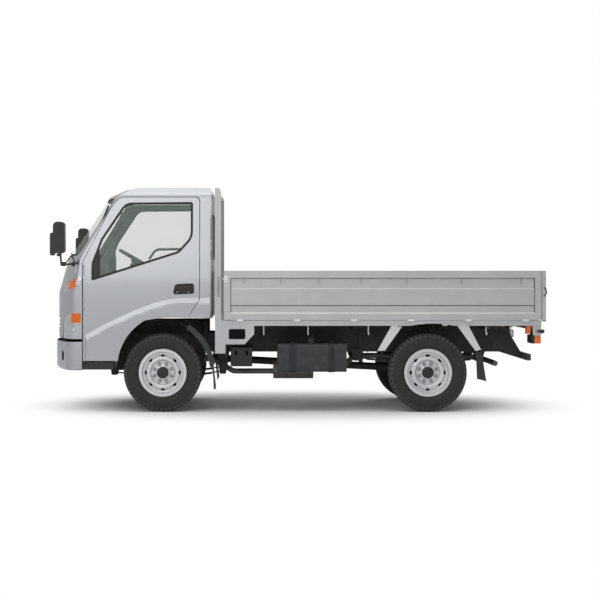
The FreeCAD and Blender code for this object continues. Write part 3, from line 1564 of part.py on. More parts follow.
def cabin_fittings():
    """Seats, dashboard and the steering wheel on its column."""
    deck = size.seat_deck_height + size.floor_plate + size.seat_clearance
    front, rear, radius = at(-size.cushion_front), at(size.cushion_rear), size.cushion_radius
    seats = []
    for y0, y1 in ((size.seat_inner, size.driver_seat_outer),
                   (-size.passenger_seat_outer, -size.seat_inner)):
        cushion = slab([(front, deck, radius), (rear, deck, size.cushion_foot_radius),
                        (rear + size.cushion_slope, deck + size.cushion_rear_height, radius),
                        (front, deck + size.cushion_front_height, size.cushion_front_radius)],
                       "XZ", y0, y1)
        back = slab([(at(size.backrest_front), deck + size.backrest_foot),
                     (at(size.backrest_rear), deck + size.backrest_heel),
                     (at(size.backrest_head_rear), deck + size.backrest_rear_height, radius),
                     (at(size.backrest_head_front), deck + size.backrest_height, radius)],
                    "XZ", y0, y1)
        seats.append(cushion.fuse(back).removeSplitter())
    keep("seats", Part.makeCompound(seats))
    floor_top = size.floor_height + size.floor_plate + size.seat_clearance
    foot, radius = floor_top + size.dash_foot, size.dash_radius
    dash = slab([(at(-size.dash_front), foot), (at(-size.dash_foot_station), foot, radius),
                 (at(-size.dash_rear), size.dash_knee_height, radius),
                 (at(-size.dash_rear), size.dash_rear_height, radius),
                 (at(-size.dash_front), size.dash_front_height)], "XZ",
                -cab_half + size.dash_setting, cab_half - size.dash_setting)
    inside = cab_solid(size.cab_wall + size.seat_clearance)
    keep("dashboard", dash.common(inside))
    # Steering wheel
    centre = spot(at(-size.steering_station), size.steering_y, size.steering_height)
    tilt = math.radians(size.steering_tilt)
    lean = spot(-math.cos(tilt), 0, -math.sin(tilt))
    wheel = Part.makeTorus(size.steering_radius, size.steering_grip, centre, lean)
    hub = rod(centre - lean * size.steering_hub_front, centre + lean * size.steering_hub_rear,
              size.steering_hub_radius)
    across = spot(0, 1, 0)
    boss = centre + lean * size.steering_spoke_setting
    spokes = [rod(boss, centre + way * size.steering_radius, size.steering_spoke_radius)
              for way in (across, across * -1, lean.cross(across))]
    column = rod(centre + lean * size.column_start, centre + lean * size.column_length,
                 size.column_radius)
    under = block(at(-size.wheelbase), at(0), 0, cab_half, 0, floor_top)
    keep("steering_wheel", fused([wheel, hub, column.cut(under)] + spokes))


# Bumper


def bumper_form(inset, rear, low, high):
    """The bumper's wrapped form, drawn in by an inset, its lower and upper edges eased."""
    foot = size.bumper_edge_radius - inset
    head = size.bumper_top_radius
    # How far each level is drawn in, as shares of the edge's radius
    steps = [(foot * share, low + foot * rise)
             for share, rise in ((0.62, 0.0), (0.22, 0.32), (0.0, 1.0))]
    steps += [(0.0, high - head), (head * 0.5, high)]
    wires = []
    for drawn_in, level in steps:
        narrow = inset + drawn_in
        curve = plan_curve(cab_half - narrow, at(-size.front_overhang) + narrow, rear,
                           size.cab_corner_radius - narrow, size.cab_front_bend)
        wires.append(outline(curve, "XY", level))
    return Part.makeLoft(wires, True, True)


def bumper():
    """The front bumper, a thin wrapped shell open at the back, on two brackets."""
    low, high = size.bumper_bottom, size.bumper_top
    front, rear = at(-size.front_overhang), at(-size.bumper_rear)
    plate, over = size.bumper_plate, size.overrun
    within = bumper_form(plate, rear + over, low + size.bumper_floor, high + over)
    shell = bumper_form(0.0, rear, low, high).cut(within)
    arms = []
    for side in SIDES.values():
        outer = side * size.rail_spread / 2
        lo, hi = sorted((outer, outer - side * size.bumper_arm_width))
        arms.append(block(front + size.bumper_arm_setting,
                          at(-size.rail_front) - size.seat_clearance, lo, hi,
                          size.rail_bottom, size.rail_bottom + size.bumper_arm_depth))
    reach = bumper_form(plate / 2, rear + over, low, high + over)
    arms = [arm.common(reach) for arm in arms]
    half, radius = size.intake_half, size.intake_radius
    holes = [slab([(-half, size.intake_bottom, radius), (half, size.intake_bottom, radius),
                   (half, size.intake_top, radius), (-half, size.intake_top, radius)],
                  "YZ", front - over, front + size.cab_corner_radius)]
    half, radius = size.fog_recess_width / 2, size.fog_recess_radius
    fog_low, fog_high = size.fog_recess_bottom, size.fog_recess_top
    for side in SIDES.values():
        middle = side * size.fog_recess_spread / 2
        holes.append(slab([(middle - half, fog_low, radius), (middle + half, fog_low, radius),
                           (middle + half, fog_high, radius), (middle - half, fog_high, radius)],
                          "YZ", front - over, rear))
    keep("front_bumper", fused([shell.cut(holes)] + arms))


# Bed


def gate_section(outer):
    """A gate's section from its inner face outwards: rails, grooves and panel."""
    low, high, thick = size.gate_bottom, size.gate_bottom + size.gate_height, size.gate_thickness
    low_band, face, high_band = (outer - size.gate_low_band_depth,
                                outer - size.gate_panel_depth,
                                outer - size.gate_high_band_depth)
    return [
        (outer - thick, low), (outer, low), (outer, low + size.gate_foot_height),
        (low_band, low + size.gate_foot_slope_height), (low_band, low + size.gate_low_band_height),
        (face, low + size.gate_panel_height), (face, low + size.gate_panel_top),
        (high_band, low + size.gate_high_band_height), (high_band, high - size.gate_high_band_drop),
        (outer, high - size.gate_rail_drop), (outer, high),
        (outer - thick, high),
    ]


def hinge_places(start, end, count):
    """Middles of the gate's hinges, spread along it."""
    margin = (end - start) * 0.05
    step = (end - start - 2 * margin) / (count - 1)
    return [start + margin + step * i for i in range(count)]


def side_gate(name, side):
    outer = size.gate_spread / 2
    x0, x1 = at(size.gate_front), at(size.gate_rear)
    low, high = size.gate_bottom, size.gate_bottom + size.gate_height
    section = [(-u, z) for u, z in gate_section(outer)]
    panel = slab(section, "YZ", x0 + size.gate_stile, x1 - size.gate_stile)
    y0, y1 = -outer, -outer + size.gate_thickness
    made = [panel, block(x0, x0 + size.gate_stile, y0, y1, low, high),
            block(x1 - size.gate_stile, x1, y0, y1, low, high)]
    axis_y, axis_z = -outer - size.gate_hinge_setting, size.gate_bottom - size.gate_hinge_drop
    bores = []
    half = size.gate_hinge_length / 2 - size.gate_hinge_play
    for x in hinge_places(x0, x1, 6):
        start, end = spot(x - half, axis_y, axis_z), spot(x + half, axis_y, axis_z)
        made.append(rod(start, end, size.gate_knuckle_radius))
        made.append(block(x - half, x + half, axis_y - size.gate_leaf_outside,
                          axis_y + size.gate_leaf_inside, axis_z, low + size.gate_hinge_drop))
        bores.append(rod(start - spot(1, 0, 0), end + spot(1, 0, 0),
                         size.gate_pin_radius + size.pin_clearance))
    keep(f"{name}_gate", on_side(fused(made).cut(bores), side))


def tail_gate():
    outer = at(size.tail_gate_front) + size.gate_thickness
    half_width = size.gate_spread / 2
    low, high = size.gate_bottom, size.gate_bottom + size.gate_height
    panel = slab([(u, z) for u, z in gate_section(outer)], "XZ",
                 -half_width + size.gate_stile, half_width - size.gate_stile)
    made = [panel]
    for side in SIDES.values():
        y0, y1 = sorted((side * half_width, side * (half_width - size.gate_stile)))
        made.append(block(outer - size.gate_thickness, outer, y0, y1, low, high))
    axis_x, axis_z = outer + size.gate_hinge_setting, size.gate_bottom - size.gate_hinge_drop
    bores = []
    half = size.gate_hinge_length / 2 - size.gate_hinge_play
    for y in hinge_places(-half_width, half_width, 4):
        start, end = spot(axis_x, y - half, axis_z), spot(axis_x, y + half, axis_z)
        made.append(rod(start, end, size.gate_knuckle_radius))
        made.append(block(axis_x - size.gate_leaf_inside, axis_x + size.gate_leaf_outside,
                          y - half, y + half, axis_z, low + size.gate_hinge_drop))
        bores.append(rod(start - spot(0, 1, 0), end + spot(0, 1, 0),
                         size.gate_pin_radius + size.pin_clearance))
    keep("tail_gate", fused(made).cut(bores))


def cross_sills(drop=0.0):
    """The bed's cross sills, tapered at their ends; a drop makes them larger all round."""
    x0, x1 = at(size.bed_front), at(size.tail_gate_front) - size.moving_clearance
    half, sill = size.bed_width / 2, size.bed_sill_width
    floor_low = size.bed_floor_top - size.bed_floor_plate
    sill_low = size.bed_floor_top - size.bed_sill_depth - drop
    cross_low = size.rail_bottom + size.rail_depth + size.bed_main_sill_depth - drop
    taper, setting = size.cross_sill_taper, size.cross_sill_setting
    count, wide = int(size.bed_cross_sill_count), size.bed_cross_sill_width
    step = (x1 - x0 - 2 * sill - wide) / (count - 1)
    return [
        slab([(-half + setting, floor_low), (-half + setting, sill_low), (-half + taper, cross_low),
              (half - taper, cross_low), (half - setting, sill_low), (half - setting, floor_low)],
             "YZ", x0 + sill + step * i - drop, x0 + sill + step * i + wide + drop)
        for i in range(count)
    ]


def bed_brackets(front, rear, sill_low):
    """The plates under the left front and rear corners of the bed, with the step's window."""
    outer, plate = -size.bed_width / 2, size.corner_plate
    high, low = sill_low + plate, size.corner_plate_bottom
    end = at(size.corner_plate_rear)
    corner = slab([(front, low), (at(size.corner_plate_cut_station), low),
                   (end, size.corner_plate_cut_height), (end, high), (front, high)],
                  "XZ", outer, outer + plate)
    radius, window_low, window_high = (size.corner_window_radius, size.corner_window_bottom,
                                       size.corner_window_top)
    start, stop = at(size.corner_window_front), at(size.corner_window_rear)
    corner = corner.cut(slab([(start, window_low, radius), (stop, window_low, radius),
                              (stop, window_high, radius), (start, window_high, radius)],
                             "XZ", outer - plate, outer + 2 * plate))
    foot = block(front, at(size.foot_plate_rear), outer + plate / 2, outer + plate,
                 size.foot_plate_bottom, low + size.foot_plate_overlap)
    y0 = outer + size.tail_plate_setting
    tail = block(at(size.tail_plate_front), rear, y0, y0 + plate, size.tail_plate_bottom, high)
    return [corner, foot, tail]


def deck():
    """The bed's floor with its edge sills, gate lugs, cross sills and rope hooks."""
    x0, x1 = at(size.bed_front), at(size.tail_gate_front) - size.moving_clearance
    half, top = size.bed_width / 2, size.bed_floor_top
    sill = size.bed_sill_width
    floor_low = top - size.bed_floor_plate
    floor_front = at(size.post_front + size.post_depth) + size.seat_clearance
    keep("deck_floor", block(floor_front, x1 - sill, -half + sill, half - sill, floor_low, top))
    sill_low = top - size.bed_sill_depth
    ring = block(x0, x1, -half, half, sill_low, top)
    ring = ring.cut(block(floor_front, x1 - sill, -half + sill, half - sill, sill_low, top))
    hollow = slab([(at(size.sill_hollow_front), sill_low),
                   ((at(size.sill_hollow_front) + at(size.sill_hollow_rear)) / 2,
                    sill_low + size.sill_hollow_depth, BEND),
                   (at(size.sill_hollow_rear), sill_low)], "XZ", -half, half)
    made = [ring.cut(hollow)]
    for bracket in bed_brackets(x0, x1, sill_low):
        made += both_sides(bracket)
    made += cross_sills()
    cross_low = size.rail_bottom + size.rail_depth + size.bed_main_sill_depth
    rail_top = size.rail_bottom + size.rail_depth
    y_out = size.rail_spread / 2
    for side in SIDES.values():
        lo, hi = sorted((side * y_out, side * (y_out - size.bed_main_sill_width)))
        made.append(block(x0, at(size.rail_rear), lo, hi, rail_top,
                          cross_low + size.bed_main_sill_overlap))
    # Lugs and pins for the gates
    pin, lug = size.gate_pin_radius, size.gate_lug_radius
    axis_y, axis_z = (size.gate_spread / 2 + size.gate_hinge_setting,
                      size.gate_bottom - size.gate_hinge_drop)
    reach, lug_long = size.gate_hinge_length / 2, size.gate_lug_length
    for x in hinge_places(at(size.gate_front), at(size.gate_rear), 6):
        for side in SIDES.values():
            y = side * axis_y
            made.append(rod(spot(x - reach, y, axis_z), spot(x + reach, y, axis_z), pin))
            for lo in (x - reach, x + reach - lug_long):
                made.append(rod(spot(lo, y, axis_z), spot(lo + lug_long, y, axis_z), lug))
                y0, y1 = sorted((side * (half - size.gate_lug_root), y))
                made.append(block(lo, lo + lug_long, y0, y1, axis_z - lug, axis_z + 2))
    axis_x = at(size.tail_gate_front) + size.gate_thickness + size.gate_hinge_setting
    for y in hinge_places(-size.gate_spread / 2, size.gate_spread / 2, 4):
        made.append(rod(spot(axis_x, y - reach, axis_z), spot(axis_x, y + reach, axis_z), pin))
        for lo in (y - reach, y + reach - lug_long):
            made.append(rod(spot(axis_x, lo, axis_z), spot(axis_x, lo + lug_long, axis_z), lug))
            made.append(block(x1 - size.gate_lug_root, axis_x, lo, lo + lug_long, axis_z - lug,
                              axis_z - size.pin_clearance))
    keep("bed_frame", fused(made))


def guard_frame():
    """Posts, bars and the head board behind the cab."""
    x0 = at(size.post_front)
    x1 = x0 + size.post_depth
    half = size.bed_width / 2
    low = size.bed_floor_top + size.seat_clearance
    top = size.guard_top
    wide = size.post_width
    made = []
    for side in SIDES.values():
        lo, hi = sorted((side * half, side * (half - wide)))
        made.append(slab([(x0, low), (x1, low), (x1, top - size.guard_chamfer_rise),
                          (x1 - size.guard_chamfer_run, top), (x0, top)],
                         "XZ", lo, hi))
    bar = size.guard_bar
    made.append(block(x0, x0 + bar, -half + wide, half - wide, top - size.guard_rail_height, top))
    made.append(block(x0, x0 + bar, -half + wide, half - wide, size.guard_middle_bottom,
                      size.guard_middle_top))
    board_front = x0 + size.head_board_setting
    made.append(block(board_front, board_front + size.head_board, -half + wide, half - wide, low,
                      size.head_board_top))
    for i in range(5):
        y = (i - 2) * (half - wide) / 3
        reach, setting = size.guard_upright_width / 2, size.guard_upright_setting
        made.append(block(x0 + setting, x0 + bar - setting, y - reach, y + reach,
                          size.guard_upright_low, top - size.guard_chamfer_rise))
    keep("guard_frame", fused(made))


# Tank, battery, exhaust


def fuel_tank():
    """The fuel tank on its two straps, hung from the left rail."""
    x0, x1 = at(size.tank_front), at(size.tank_rear)
    radius = size.tank_edge_radius
    y0, y1 = -size.tank_outer, -size.tank_inner
    low, high = size.tank_bottom, size.tank_top
    section = [(y0, low, radius), (y1, low, radius), (y1, high, radius), (y0, high, radius)]
    made = [slab(section, "YZ", x0, x1)]
    p = size.tank_strap_plate
    strap = [(y0 - p, low - p, radius + p), (y1 + p, low - p, radius + p),
             (y1 + p, high + p, radius + p), (y0 - p, high + p, radius + p)]
    half = size.rail_spread / 2
    for share in STRAP_SHARES:
        x = x0 + (x1 - x0) * share
        made.append(slab(strap, "YZ", x - size.tank_strap_width / 2,
                         x + size.tank_strap_width / 2))
        reach = size.tank_bracket_half
        made.append(block(x - reach, x + reach, y1 - size.bracket_overlap,
                          -half - size.seat_clearance, size.tank_bracket_bottom,
                          size.tank_bracket_top))
    filler_x = at(size.filler_station)
    made.append(rod(spot(filler_x, y0 + size.filler_foot_setting, high - size.bracket_overlap),
                    spot(filler_x, y0 + size.filler_head_setting, high + size.filler_rise),
                    size.filler_radius))
    keep("fuel_tank", fused(made))


def battery_box():
    x0, x1 = at(size.battery_front), at(size.battery_rear)
    y0, y1 = -size.battery_outer, -size.battery_inner
    half = size.rail_spread / 2
    made = [block(x0, x1, y0, y1, size.battery_bottom, size.battery_top),
            block(x0 + size.battery_bracket_setting, x1 - size.battery_bracket_setting,
                  y1 - size.bracket_overlap, -half - size.seat_clearance,
                  size.battery_bracket_bottom, size.battery_bracket_top)]
    keep("battery_box", fused(made))


def exhaust():
    """Muffler and pipes inside the left rail and out to the rear."""
    y, z = -size.pipe_y, size.muffler_height
    x0 = at(size.muffler_front)
    x1 = x0 + size.muffler_length
    engine_rear = at(size.engine_length - size.engine_front) + size.seat_clearance
    start = spot(engine_rear, y, size.front_pipe_start)
    bend, level = size.pipe_radius * 3, size.front_pipe_level
    front = pipe([start, start + spot(size.front_pipe_run, 0, 0),
                  spot(at(size.front_pipe_bend_station), y, level),
                  spot(x0 + size.pipe_overlap, y, level)],
                 size.pipe_radius, bend)
    over_y, over_z = -size.pipe_over_y, size.pipe_over_height
    rear = pipe([spot(x1 - size.pipe_overlap, y, z), spot(at(size.pipe_lift_station), y, z),
                 spot(at(size.pipe_over_station), over_y, over_z),
                 spot(at(size.pipe_drop_station), over_y, over_z),
                 spot(at(size.pipe_turn_station), -size.pipe_turn_y, size.pipe_turn_height),
                 spot(at(size.pipe_end_station), -size.pipe_end_y, size.pipe_end_height)],
                 size.pipe_radius, bend)
    made = [rod(spot(x0, y, z), spot(x1, y, z), size.muffler_radius), front, rear]
    # Hangers up to the cross members
    under = size.rail_bottom + (size.rail_depth - size.cross_member_depth) / 2
    for station, across, foot in ((size.muffler_hanger_station, y, z),
                                  (size.pipe_hanger_station, over_y, over_z)):
        x = at(station) + size.cross_member_plate / 2
        made.append(rod(spot(x, across, foot), spot(x, across, under - size.seat_clearance),
                        size.hanger_radius))
    keep("exhaust", fused(made))


# Guards, tail and lamps


def flap_plate(top_x, top_z, low_x, low_z, y0, y1):
    """A rubber flap that hangs aslant."""
    half = size.flap_plate / 2
    return slab([(top_x - half, top_z), (low_x - half, low_z), (low_x + half, low_z),
                 (top_x + half, top_z)], "XZ", y0, y1)


def front_mudguards():
    """Inner rear halves of the front arches with their flaps, carried by the rails."""
    x, z = at(0), size.tyre_radius
    plate, radius = size.guard_plate, size.front_guard_radius
    y0 = -cab_half + size.front_guard_outer
    y1 = -size.spring_spread / 2 - size.front_guard_inner
    points = []
    for angle in FRONT_GUARD_ANGLES:
        a = math.radians(angle)
        points.append((x + radius * math.cos(a) - size.front_guard_shift,
                       z + radius * math.sin(a) - size.front_guard_drop))
    lean, rise = FRONT_GUARD_SHARES
    outer = [(u + plate * lean, v + plate * rise) for u, v in points]
    strip = [points[0], points[1] + (BEND,), points[2], outer[2], outer[1] + (BEND,), outer[0]]
    guard = slab(strip, "XZ", y0, y1)
    flap = flap_plate(at(size.front_flap_top_station), size.front_flap_top,
                      at(size.front_flap_low_station), size.front_flap_low, y0, y1)
    foot_x = points[2][0]
    bracket = block(foot_x, foot_x + size.front_guard_bracket, y1 - plate,
                    -size.rail_spread / 2 - size.seat_clearance, size.guard_bracket_bottom,
                    size.guard_bracket_top)
    link = block(foot_x, foot_x + plate, y1 - plate, y1, points[2][1], size.guard_bracket_top)
    shape = fused([guard, flap, bracket, link])
    keep("front_mudguards", Part.makeCompound(both_sides(shape)))


def rear_mudguards():
    """Arc guards before and behind the rear wheels on slanted stays, with flaps."""
    x, z = at(size.wheelbase + size.rear_guard_setback), size.tyre_radius
    plate, radius = size.guard_plate, size.rear_guard_radius
    y0 = -size.bed_width / 2 + size.rear_guard_outer
    y1 = -size.track / 2 + size.tyre_width / 2 + size.rear_guard_inner

    def ring(r, angle):
        a = math.radians(angle)
        return x + r * math.cos(a), z + r * math.sin(a)

    made = []
    for start, mid, end in REAR_GUARD_ANGLES:
        strip = [ring(radius, start), ring(radius, mid) + (BEND,), ring(radius, end),
                 ring(radius + plate, end), ring(radius + plate, mid) + (BEND,),
                 ring(radius + plate, start)]
        made.append(slab(strip, "XZ", y0, y1))
    under = size.bed_floor_top - size.bed_sill_depth - size.seat_clearance
    foot = size.stay_low
    for top0, top1, low0, low1 in (
            (size.front_stay_top_front, size.front_stay_top_rear,
             size.front_stay_low_front, size.front_stay_low_rear),
            (size.rear_stay_top_front, size.rear_stay_top_rear,
             size.rear_stay_low_front, size.rear_stay_low_rear)):
        made.append(slab([(at(top0), under), (at(top1), under), (at(low1), foot), (at(low0), foot)],
                         "XZ", y0, y0 + plate))
    made.append(flap_plate(at(size.rear_flap_top_station), size.rear_flap_top,
                           at(size.rear_flap_low_station), size.rear_flap_low, y0, y1))
    shape = fused(made).cut(cross_sills(size.seat_clearance))
    keep("rear_mudguards", Part.makeCompound(both_sides(shape)))


def underrun_bar():
    x, z, bar = at(size.underrun_station), size.underrun_height, size.underrun_bar
    half = size.bed_width / 2 - size.underrun_setting
    made = [block(x - size.underrun_depth, x, -half, half, z - bar / 2, z + bar / 2)]
    y = size.rail_spread / 2
    end = at(size.rail_rear)
    for side in SIDES.values():
        lo, hi = sorted((side * (y + size.seat_clearance), side * (y + size.underrun_arm)))
        start, reach = end - size.underrun_arm_run, size.underrun_arm_half
        tip = x - size.underrun_arm_end
        made.append(slab([(start, size.underrun_arm_top), (start, size.underrun_arm_bottom),
                          (tip, z - reach), (tip, z + reach),
                          (end, size.underrun_arm_top)], "XZ", lo, hi))
    keep("underrun_bar", fused(made))


def rear_lamps():
    """Rear lamp units on stems under the last cross sill, and side markers ahead of them."""
    outer = -size.bed_width / 2
    y0 = outer + size.tail_lamp_setting
    under = (size.rail_bottom + size.rail_depth + size.bed_main_sill_depth
             - size.seat_clearance)
    lamp = block(at(size.tail_lamp_front), at(size.tail_lamp_rear), y0, y0 + size.tail_lamp_width,
                 size.tail_lamp_bottom, size.tail_lamp_top)
    stem_y = outer + size.tail_lamp_stem_setting
    stem = block(at(size.tail_lamp_stem_front), at(size.tail_lamp_stem_rear), stem_y,
                 stem_y + size.tail_lamp_stem_width, size.tail_lamp_top - size.lamp_corner_radius,
                 under)
    marker_y = outer + size.marker_setting
    marker = block(at(size.marker_front), at(size.marker_rear), marker_y,
                   marker_y + size.marker_width, size.marker_bottom,
                   size.bed_floor_top - size.bed_sill_depth - size.seat_clearance)
    keep("rear_lamps", Part.makeCompound(both_sides(fused([lamp, stem])) + both_sides(marker)))


# The truck

for wheel, station, side in wheel_places():
    tyre(wheel, station, side)
    rim(wheel, station, side)
axle_beam()
for name, side in SIDES.items():
    knuckle(name, side)
tie_rod()
rear_axle()
prop_shaft()
leaf_springs()
chassis_frame()
engine()
cab()
mirrors()
wipers()
cabin_fittings()
bumper()
for name, side in SIDES.items():
    side_gate(name, side)
tail_gate()
deck()
guard_frame()
fuel_tank()
battery_box()
exhaust()
front_mudguards()
rear_mudguards()
underrun_bar()
rear_lamps()

doc.recompute()
for item in doc.Objects:
    if "Invalid" in item.State or "Error" in item.State:
        raise RuntimeError(f"{item.Label} did not recompute: {item.State}")
for label, item in pieces.items():
    if item.Shape.isNull() or not item.Shape.isValid():
        raise RuntimeError(f"{label} has no valid shape")
os.makedirs("parts", exist_ok=True)
for label, item in pieces.items():
    item.Shape.exportStep(f"parts/{label}.step")
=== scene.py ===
"""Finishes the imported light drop-side truck: paint, glass, tyres, lamps, trim and a pale studio."""
import json
import math

import bmesh
import bpy
from bpy.props import FloatProperty, FloatVectorProperty, IntProperty, PointerProperty
from mathutils import Matrix, Vector

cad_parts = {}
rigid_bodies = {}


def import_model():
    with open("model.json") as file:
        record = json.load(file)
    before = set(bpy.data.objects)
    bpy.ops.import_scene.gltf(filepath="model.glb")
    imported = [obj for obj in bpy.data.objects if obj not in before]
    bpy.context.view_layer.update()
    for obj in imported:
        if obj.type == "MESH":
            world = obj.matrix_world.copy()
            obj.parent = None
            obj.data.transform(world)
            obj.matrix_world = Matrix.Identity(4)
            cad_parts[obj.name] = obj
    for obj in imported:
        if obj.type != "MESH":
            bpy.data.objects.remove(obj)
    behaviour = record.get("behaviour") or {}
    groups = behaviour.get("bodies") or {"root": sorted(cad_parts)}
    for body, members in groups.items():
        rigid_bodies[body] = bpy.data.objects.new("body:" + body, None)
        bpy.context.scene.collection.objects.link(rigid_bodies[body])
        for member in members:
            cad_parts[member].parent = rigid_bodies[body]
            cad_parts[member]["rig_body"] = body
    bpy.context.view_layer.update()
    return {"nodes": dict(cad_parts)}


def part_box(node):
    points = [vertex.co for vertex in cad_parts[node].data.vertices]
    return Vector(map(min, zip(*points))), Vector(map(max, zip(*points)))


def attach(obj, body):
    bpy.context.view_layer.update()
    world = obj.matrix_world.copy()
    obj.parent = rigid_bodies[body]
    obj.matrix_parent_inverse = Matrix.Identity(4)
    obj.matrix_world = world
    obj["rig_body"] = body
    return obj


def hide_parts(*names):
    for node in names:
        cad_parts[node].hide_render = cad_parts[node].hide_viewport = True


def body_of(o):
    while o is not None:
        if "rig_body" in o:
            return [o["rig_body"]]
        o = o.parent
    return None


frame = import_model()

bl_info = {
    "name": "Drop-side Truck Finisher",
    "version": (1, 0, 0),
    "blender": (4, 5, 0),
    "location": "View3D > Sidebar > Truck",
    "description": "Paints, glazes and trims the packed light drop-side truck",
    "category": "Object",
}

# Places in metres. The truck faces -X, and pieces are modelled on its left side, which is -Y
LEFT, RIGHT = -1, 1
SIDES = {"left": LEFT, "right": RIGHT}
FRONT_AXLE, REAR_AXLE = -1.266, 1.234
WHEELS = {
    "front_left": (FRONT_AXLE, LEFT),
    "front_right": (FRONT_AXLE, RIGHT),
    "rear_left": (REAR_AXLE, LEFT),
    "rear_right": (REAR_AXLE, RIGHT),
}
WHEEL_HEIGHT = 0.369
WHEEL_OUT = 0.700
TREAD_START = 0.340
BEAD_END = 0.247
WINDOW_DIVIDER = -1.857
WINDOW_SILL = 1.225
HEAD_LENS_SPLIT = -2.121, 0.842
BAND_LENS_ENDS = -2.170, -2.075
GATE_ENDS = -0.6245, 2.2265
FLAT_FOLD = 7.0
# Metres to a pixel of the photograph, and the front axle's column in it
PIXEL, AXLE_COLUMN = 0.00936, 162.1
RAIL_HOOK_COLUMNS = 244, 281, 319, 361, 407, 462, 522
ROPE_HOOK_COLUMNS = 263.8, 308.4, 369, 487.4, 512.6


def length(name, description, default):
    return FloatProperty(name=name, description=description, default=default, unit="LENGTH")


def colour(name, description, default):
    return FloatVectorProperty(
        name=name, description=description, default=default, subtype="COLOR", min=0, max=1
    )


class TruckSizes(bpy.types.PropertyGroup):
    panel_edge: length("Panel Edge", "Roundness of the edges of pressed panels", 0.0022)
    panel_cell: length("Panel Cell", "Size of the cells that large panels are cut into", 0.06)
    frame_edge: length("Frame Edge", "Roundness of the edges of frame and bed steel", 0.0015)
    seal_width: length("Seal Width", "Width of the rubber round each pane", 0.021)
    seal_height: length("Seal Height", "How far the rubber stands on its pane", 0.0035)
    tread_groove: length("Tread Groove", "Depth of the grooves round the tread", 0.008)
    tread_steps: IntProperty(
        name="Tread Blocks", description="Blocks round each shoulder of a tyre", default=50, min=24
    )
    nut_radius: length("Nut Radius", "Half of a wheel nut's width over its corners", 0.0155)
    nut_circle: length("Nut Circle", "Radius of the ring of wheel nuts", 0.0865)
    nuts: IntProperty(name="Wheel Nuts", description="Nuts on each wheel", default=8, min=4)


class TruckColours(bpy.types.PropertyGroup):
    cab: colour("Cab Paint", "Metallic silver of cab and bumper", (0.44, 0.452, 0.468))
    bed: colour("Bed Paint", "Grey paint of gates, deck sills and guard", (0.50, 0.506, 0.514))
    deck: colour("Deck Steel", "Worn steel of the bed's floor", (0.25, 0.255, 0.26))
    wheel: colour("Wheel Paint", "Light silver of the steel wheels", (0.66, 0.665, 0.67))
    chassis: colour("Chassis Black", "Paint of frame, axles and springs", (0.022, 0.022, 0.023))
    tyre: colour("Tyre Rubber", "Rubber of the tyres", (0.013, 0.013, 0.014))
    plastic: colour("Plastic Black", "Mirrors, trim and guards", (0.018, 0.018, 0.020))
    tank: colour("Tank Grey", "Coating of the fuel tank", (0.024, 0.026, 0.029))
    glass: colour("Glass Tint", "Green-grey tint of the panes", (0.42, 0.50, 0.46))
    orange: colour("Turn Lens", "Orange of the turn lamps", (0.85, 0.16, 0.004))
    red: colour("Tail Lens", "Red of the tail lamps", (0.42, 0.008, 0.008))
    fabric: colour("Seat Fabric", "Woven cloth of the seats", (0.075, 0.078, 0.085))


# Shaders


class Wire:
    """One output of a shader node. Sums on it add Math nodes."""

    def __init__(self, shader, socket):
        self.shader, self.socket = shader, socket

    def __add__(self, other):
        return self.shader.reckon("ADD", self, other)

    def __sub__(self, other):
        return self.shader.reckon("SUBTRACT", self, other)

    def __rsub__(self, other):
        return self.shader.reckon("SUBTRACT", other, self)

    def __mul__(self, other):
        return self.shader.reckon("MULTIPLY", self, other)

    def clamped(self, low, high):
        """0 at low, 1 at high and smooth between."""
        return self.shader.node(
            "MapRange",
            {"interpolation_type": "SMOOTHSTEP"},
            {"Value": self, "From Min": low, "From Max": high},
        )


class Shader:
    """The nodes of one material or world. node() makes any node and gives its output."""

    def __init__(self, holder):
        holder.use_nodes = True
        self.holder, self.tree = holder, holder.node_tree
        self.tree.nodes.clear()

    def node(self, kind, settings=None, values=None, output=0):
        made = self.tree.nodes.new(f"ShaderNode{kind}")
        for key, value in (settings or {}).items():
            setattr(made, key, value)
        for key, value in (values or {}).items():
            if isinstance(value, Wire):
                self.tree.links.new(value.socket, made.inputs[key])
            else:
                made.inputs[key].default_value = value
        return Wire(self, made.outputs[output])

    def reckon(self, operation, *values):
        return self.node("Math", {"operation": operation}, dict(enumerate(values)))

    def place(self):
        """Object coordinates."""
        return self.node("TexCoord", output=3)

    def along(self, axis):
        return self.node("SeparateXYZ", values={0: self.place()}, output="XYZ".index(axis))

    def noise(self, scale, detail=2.0, stretch=(1, 1, 1)):
        vector = self.node("Mapping", values={"Vector": self.place(), "Scale": stretch})
        return self.node("TexNoise", values={"Vector": vector, "Scale": scale, "Detail": detail})

    def cells(self, scale, settings=None, output=0):
        values = {"Vector": self.place(), "Scale": scale}
        return self.node("TexVoronoi", settings, values, output)

    def mix(self, factor, first, second):
        return self.node("Mix", {"data_type": "RGBA"}, {0: factor, 6: first, 7: second}, 2)

    def tinted(self, paint, factor, dark, light):
        """The paint times a grey between dark and light, by the factor."""
        return self.mix(factor, shade(paint, dark), shade(paint, light))

    def bump(self, height, strength, distance, **under):
        values = {"Height": height, "Strength": strength, "Distance": distance, **under}
        return self.node("Bump", values=values)

    def surface(self, **values):
        """Ends the material in a Principled surface and gives it back."""
        named = {key.replace("_", " "): value for key, value in values.items()}
        self.output(self.node("BsdfPrincipled", values=named))
        return self.holder

    def output(self, shader):
        kind = "World" if self.holder.id_type == "WORLD" else "Material"
        made = self.tree.nodes.new(f"ShaderNodeOutput{kind}")
        self.tree.links.new(shader.socket, made.inputs["Surface"])


def shade(paint, share=1.0):
    return (*(min(1.0, c * share) for c in paint[:3]), 1.0)


def colours():
    return bpy.context.scene.truck_colours


def sizes():
    return bpy.context.scene.truck_sizes


def new_shader(name):
    return Shader(bpy.data.materials.new(name))


